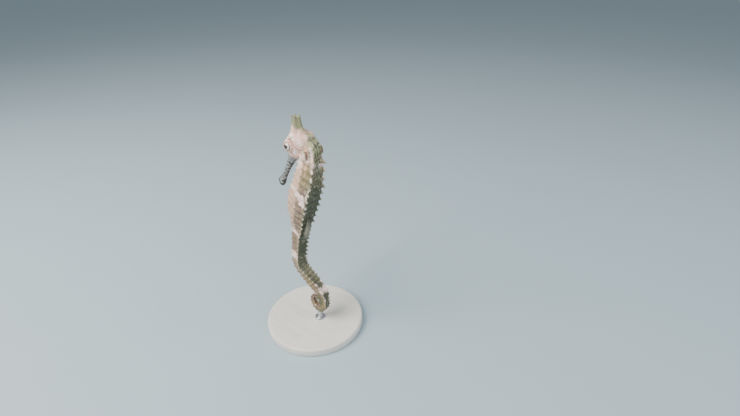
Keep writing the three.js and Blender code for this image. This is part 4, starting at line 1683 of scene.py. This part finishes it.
@dataclass(frozen=True)
class FinMembrane(Finish):
    """Thin cast membrane, satin, darker between its pale rays and barred towards the edge."""

    rays: str = "D2C9B8"
    membrane: str = "B5AE9C"
    bar: str = "4C4D42"
    barred: float = 0.85

    def inputs(self, tree: Tree) -> Inputs:
        """Mixes the colours by the ray and by the way out from the root.

        Args:
            tree: the material's tree.

        Returns:
            What goes into the shader.
        """
        fine = grain(tree, 0.5)
        base = blend(tree, attribute(tree, "ray"), linear(self.membrane), linear(self.rays))
        wave = math_node(tree, "MULTIPLY_ADD", fine, 0.35, attribute(tree, "span"))
        stripe = remap(tree, wave, (0.6, 0.85), (0.0, self.barred), "SMOOTHSTEP")
        colour = blend(tree, stripe, base, linear(self.bar))
        return {"Base Color": colour, "Normal": bump(tree, [(fine, 0.03)])}


@dataclass(frozen=True)
class LacqueredWood(Finish):
    """Turned wood under a matt off-white lacquer: smooth, with a trace of the grain."""

    colour: str = "E6E3DB"
    shade: str = "D9D5CB"
    line_gap: float = 1.5
    line_length: float = 22.0

    def inputs(self, tree: Tree) -> Inputs:
        """Draws long grain lines that just show through the lacquer.

        Args:
            tree: the material's tree.

        Returns:
            What goes into the shader.
        """
        long = 1.0 / (self.line_length * MM)
        lines = stretched_noise(tree, (1.0 / (self.line_gap * MM), long, long), 4.0)
        share = remap(tree, math_node(tree, "MULTIPLY", lines, grain(tree, 12.0)), (0.12, 0.42))
        colour = blend(tree, share, linear(self.colour), linear(self.shade))
        return {"Base Color": colour, "Normal": bump(tree, [(lines, 0.03)])}


@dataclass(frozen=True)
class BrushedSteel(Finish):
    """Turned stainless steel: fine brushing round the rod draws its highlights out."""

    colour: str = "C3C5C7"
    line_gap: float = 0.2

    def inputs(self, tree: Tree) -> Inputs:
        """Draws brush lines, coarser than real ones so that they show.

        Args:
            tree: the material's tree.

        Returns:
            What goes into the shader.
        """
        lines = stretched_noise(tree, (60.0, 60.0, 1.0 / (self.line_gap * MM)), 3.0)
        return {
            "Base Color": linear(self.colour),
            "Metallic": 1.0,
            "Roughness": remap(tree, lines, (0.0, 1.0), (self.roughness - 0.08, self.roughness + 0.1)),
            "Normal": bump(tree, [(lines, 0.01)]),
        }


@dataclass(frozen=True)
class StudioPaper(Finish):
    """A roll of pale matt paper that the stand is set on; it gives a soft, even ground."""

    colour: str = "ADBFC6"

    def inputs(self, tree: Tree) -> Inputs:
        """Gives the paper its colour and a slight unevenness."""
        cloud = remap(tree, grain(tree, 90.0), (0.0, 1.0), (0.97, 1.02))
        return {"Base Color": blend(tree, 1.0, linear(self.colour), cloud, "MULTIPLY")}


def dress(piece: Piece, material: bpy.types.Material) -> None:
    """Gives a piece its material and its body.

    Args:
        piece: the piece.
        material: its material.
    """
    piece.data.materials.clear()
    piece.data.materials.append(material)
    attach(piece, "root")
    LOG.info("%s: %d faces", piece.name, len(piece.data.polygons))


# ------ the studio


@dataclass(frozen=True)
class Lamp:
    """A square soft lamp: its place and width in metres, its watts and its light's colour."""

    name: str
    at: Triple
    size: float
    watts: float
    colour: Triple

    def build(self, aim: Triple) -> None:
        """Hangs the lamp so that it faces the aim.

        Args:
            aim: the point, in metres.
        """
        light = bpy.data.lights.new(self.name, "AREA")
        light.size = self.size
        light.energy = self.watts
        light.color = self.colour
        lamp = new_object(self.name, light)
        x, y, z = np.array(aim) - self.at
        lamp.location = self.at
        lamp.rotation_euler = (math.acos(-z / math.hypot(x, y, z)), 0.0, math.atan2(x, -y) + math.pi)


@dataclass
class Studio:
    """A pale paper floor, soft lamps from the left, and the camera."""

    lamps: tuple[Lamp, ...] = (
        Lamp("key_lamp", (0.42, -0.22, 0.55), 0.5, 9.0, (1.0, 0.975, 0.94)),
        Lamp("fill_lamp", (-0.1, 0.6, 0.5), 0.7, 3.3, (0.93, 0.97, 1.0)),
    )
    camera_at: Triple = (139.12, 134.92, 189.64)
    camera_azimuth: float = 124.394
    camera_pitch: float = 30.181
    lens: float = 20.92
    floor: float = 6.0
    aim: Triple = (0.0, 0.0, 0.065)
    air_colour: tuple[float, ...] = (0.86, 0.93, 1.0, 1.0)
    air_strength: float = 0.41

    def build(self) -> None:
        """Makes the floor, the lamps and the camera."""
        half = self.floor / 2
        mesh = bpy.data.meshes.new("studio_floor")
        corners = [(-half, -half, 0.0), (half, -half, 0.0), (half, half, 0.0), (-half, half, 0.0)]
        mesh.from_pydata(corners, [], [(0, 1, 2, 3)])
        paper = new_object("studio_floor", mesh)
        paper.data.materials.append(StudioPaper("matt_studio_paper", 0.9, 0.2).build())
        for lamp in self.lamps:
            lamp.build(self.aim)
        world = bpy.data.worlds.new("studio_air")
        world.use_nodes = True
        set_values(world.node_tree.nodes["Background"], {0: self.air_colour, 1: self.air_strength})
        bpy.context.scene.world = world
        self.camera()

    def camera(self) -> None:
        """Sets the camera, level from side to side, looking down on the animal's left back."""
        lens = bpy.data.cameras.new("camera")
        lens.lens = self.lens
        lens.sensor_width = 36.0
        lens.clip_start = 0.005
        camera = new_object("camera", lens)
        camera.location = [v * MM for v in self.camera_at]
        turns = (90 - self.camera_pitch, 0.0, self.camera_azimuth)
        camera.rotation_euler = [math.radians(turn) for turn in turns]
        bpy.context.scene.camera = camera


# ------ the whole


def main() -> None:
    """Builds the studio and every piece of the model."""
    logging.basicConfig(level=logging.INFO, format="%(name)s %(message)s")
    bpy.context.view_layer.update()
    Studio().build()

    body = RingedBody()
    head = Head()
    skin = Skin(body, head, Coronet()).build()
    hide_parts(*Skin.NODES)
    dress(skin, PaintedSkin("cast_resin_painted_skin", 0.58, 0.4).build())

    eye_finish = PolishedEye("polished_resin_eye", 0.25).build()
    for side in Side:
        dress(Eye(head, side).build(), eye_finish)

    fins = Fins(body)
    barred_fin = FinMembrane("thin_cast_barred_fin", 0.45).build()
    plain_fin = FinMembrane(
        "thin_cast_skin_toned_fin", 0.45, rays="EBDACE", membrane="DCC8B8", bar="98957A", barred=0.55
    ).build()
    for fin in (fins.dorsal(), fins.anal()):
        dress(fin.build(), barred_fin)
    for side in Side:
        dress(fins.pectoral(side).build(), plain_fin)

    stand = DisplayStand(body)
    dress(stand.base(), LacqueredWood("turned_wood_matt_lacquer", 0.5, 0.4).build())
    dress(stand.rod(), BrushedSteel("turned_brushed_steel", 0.3).build())


if __name__ == "__main__":
    main()
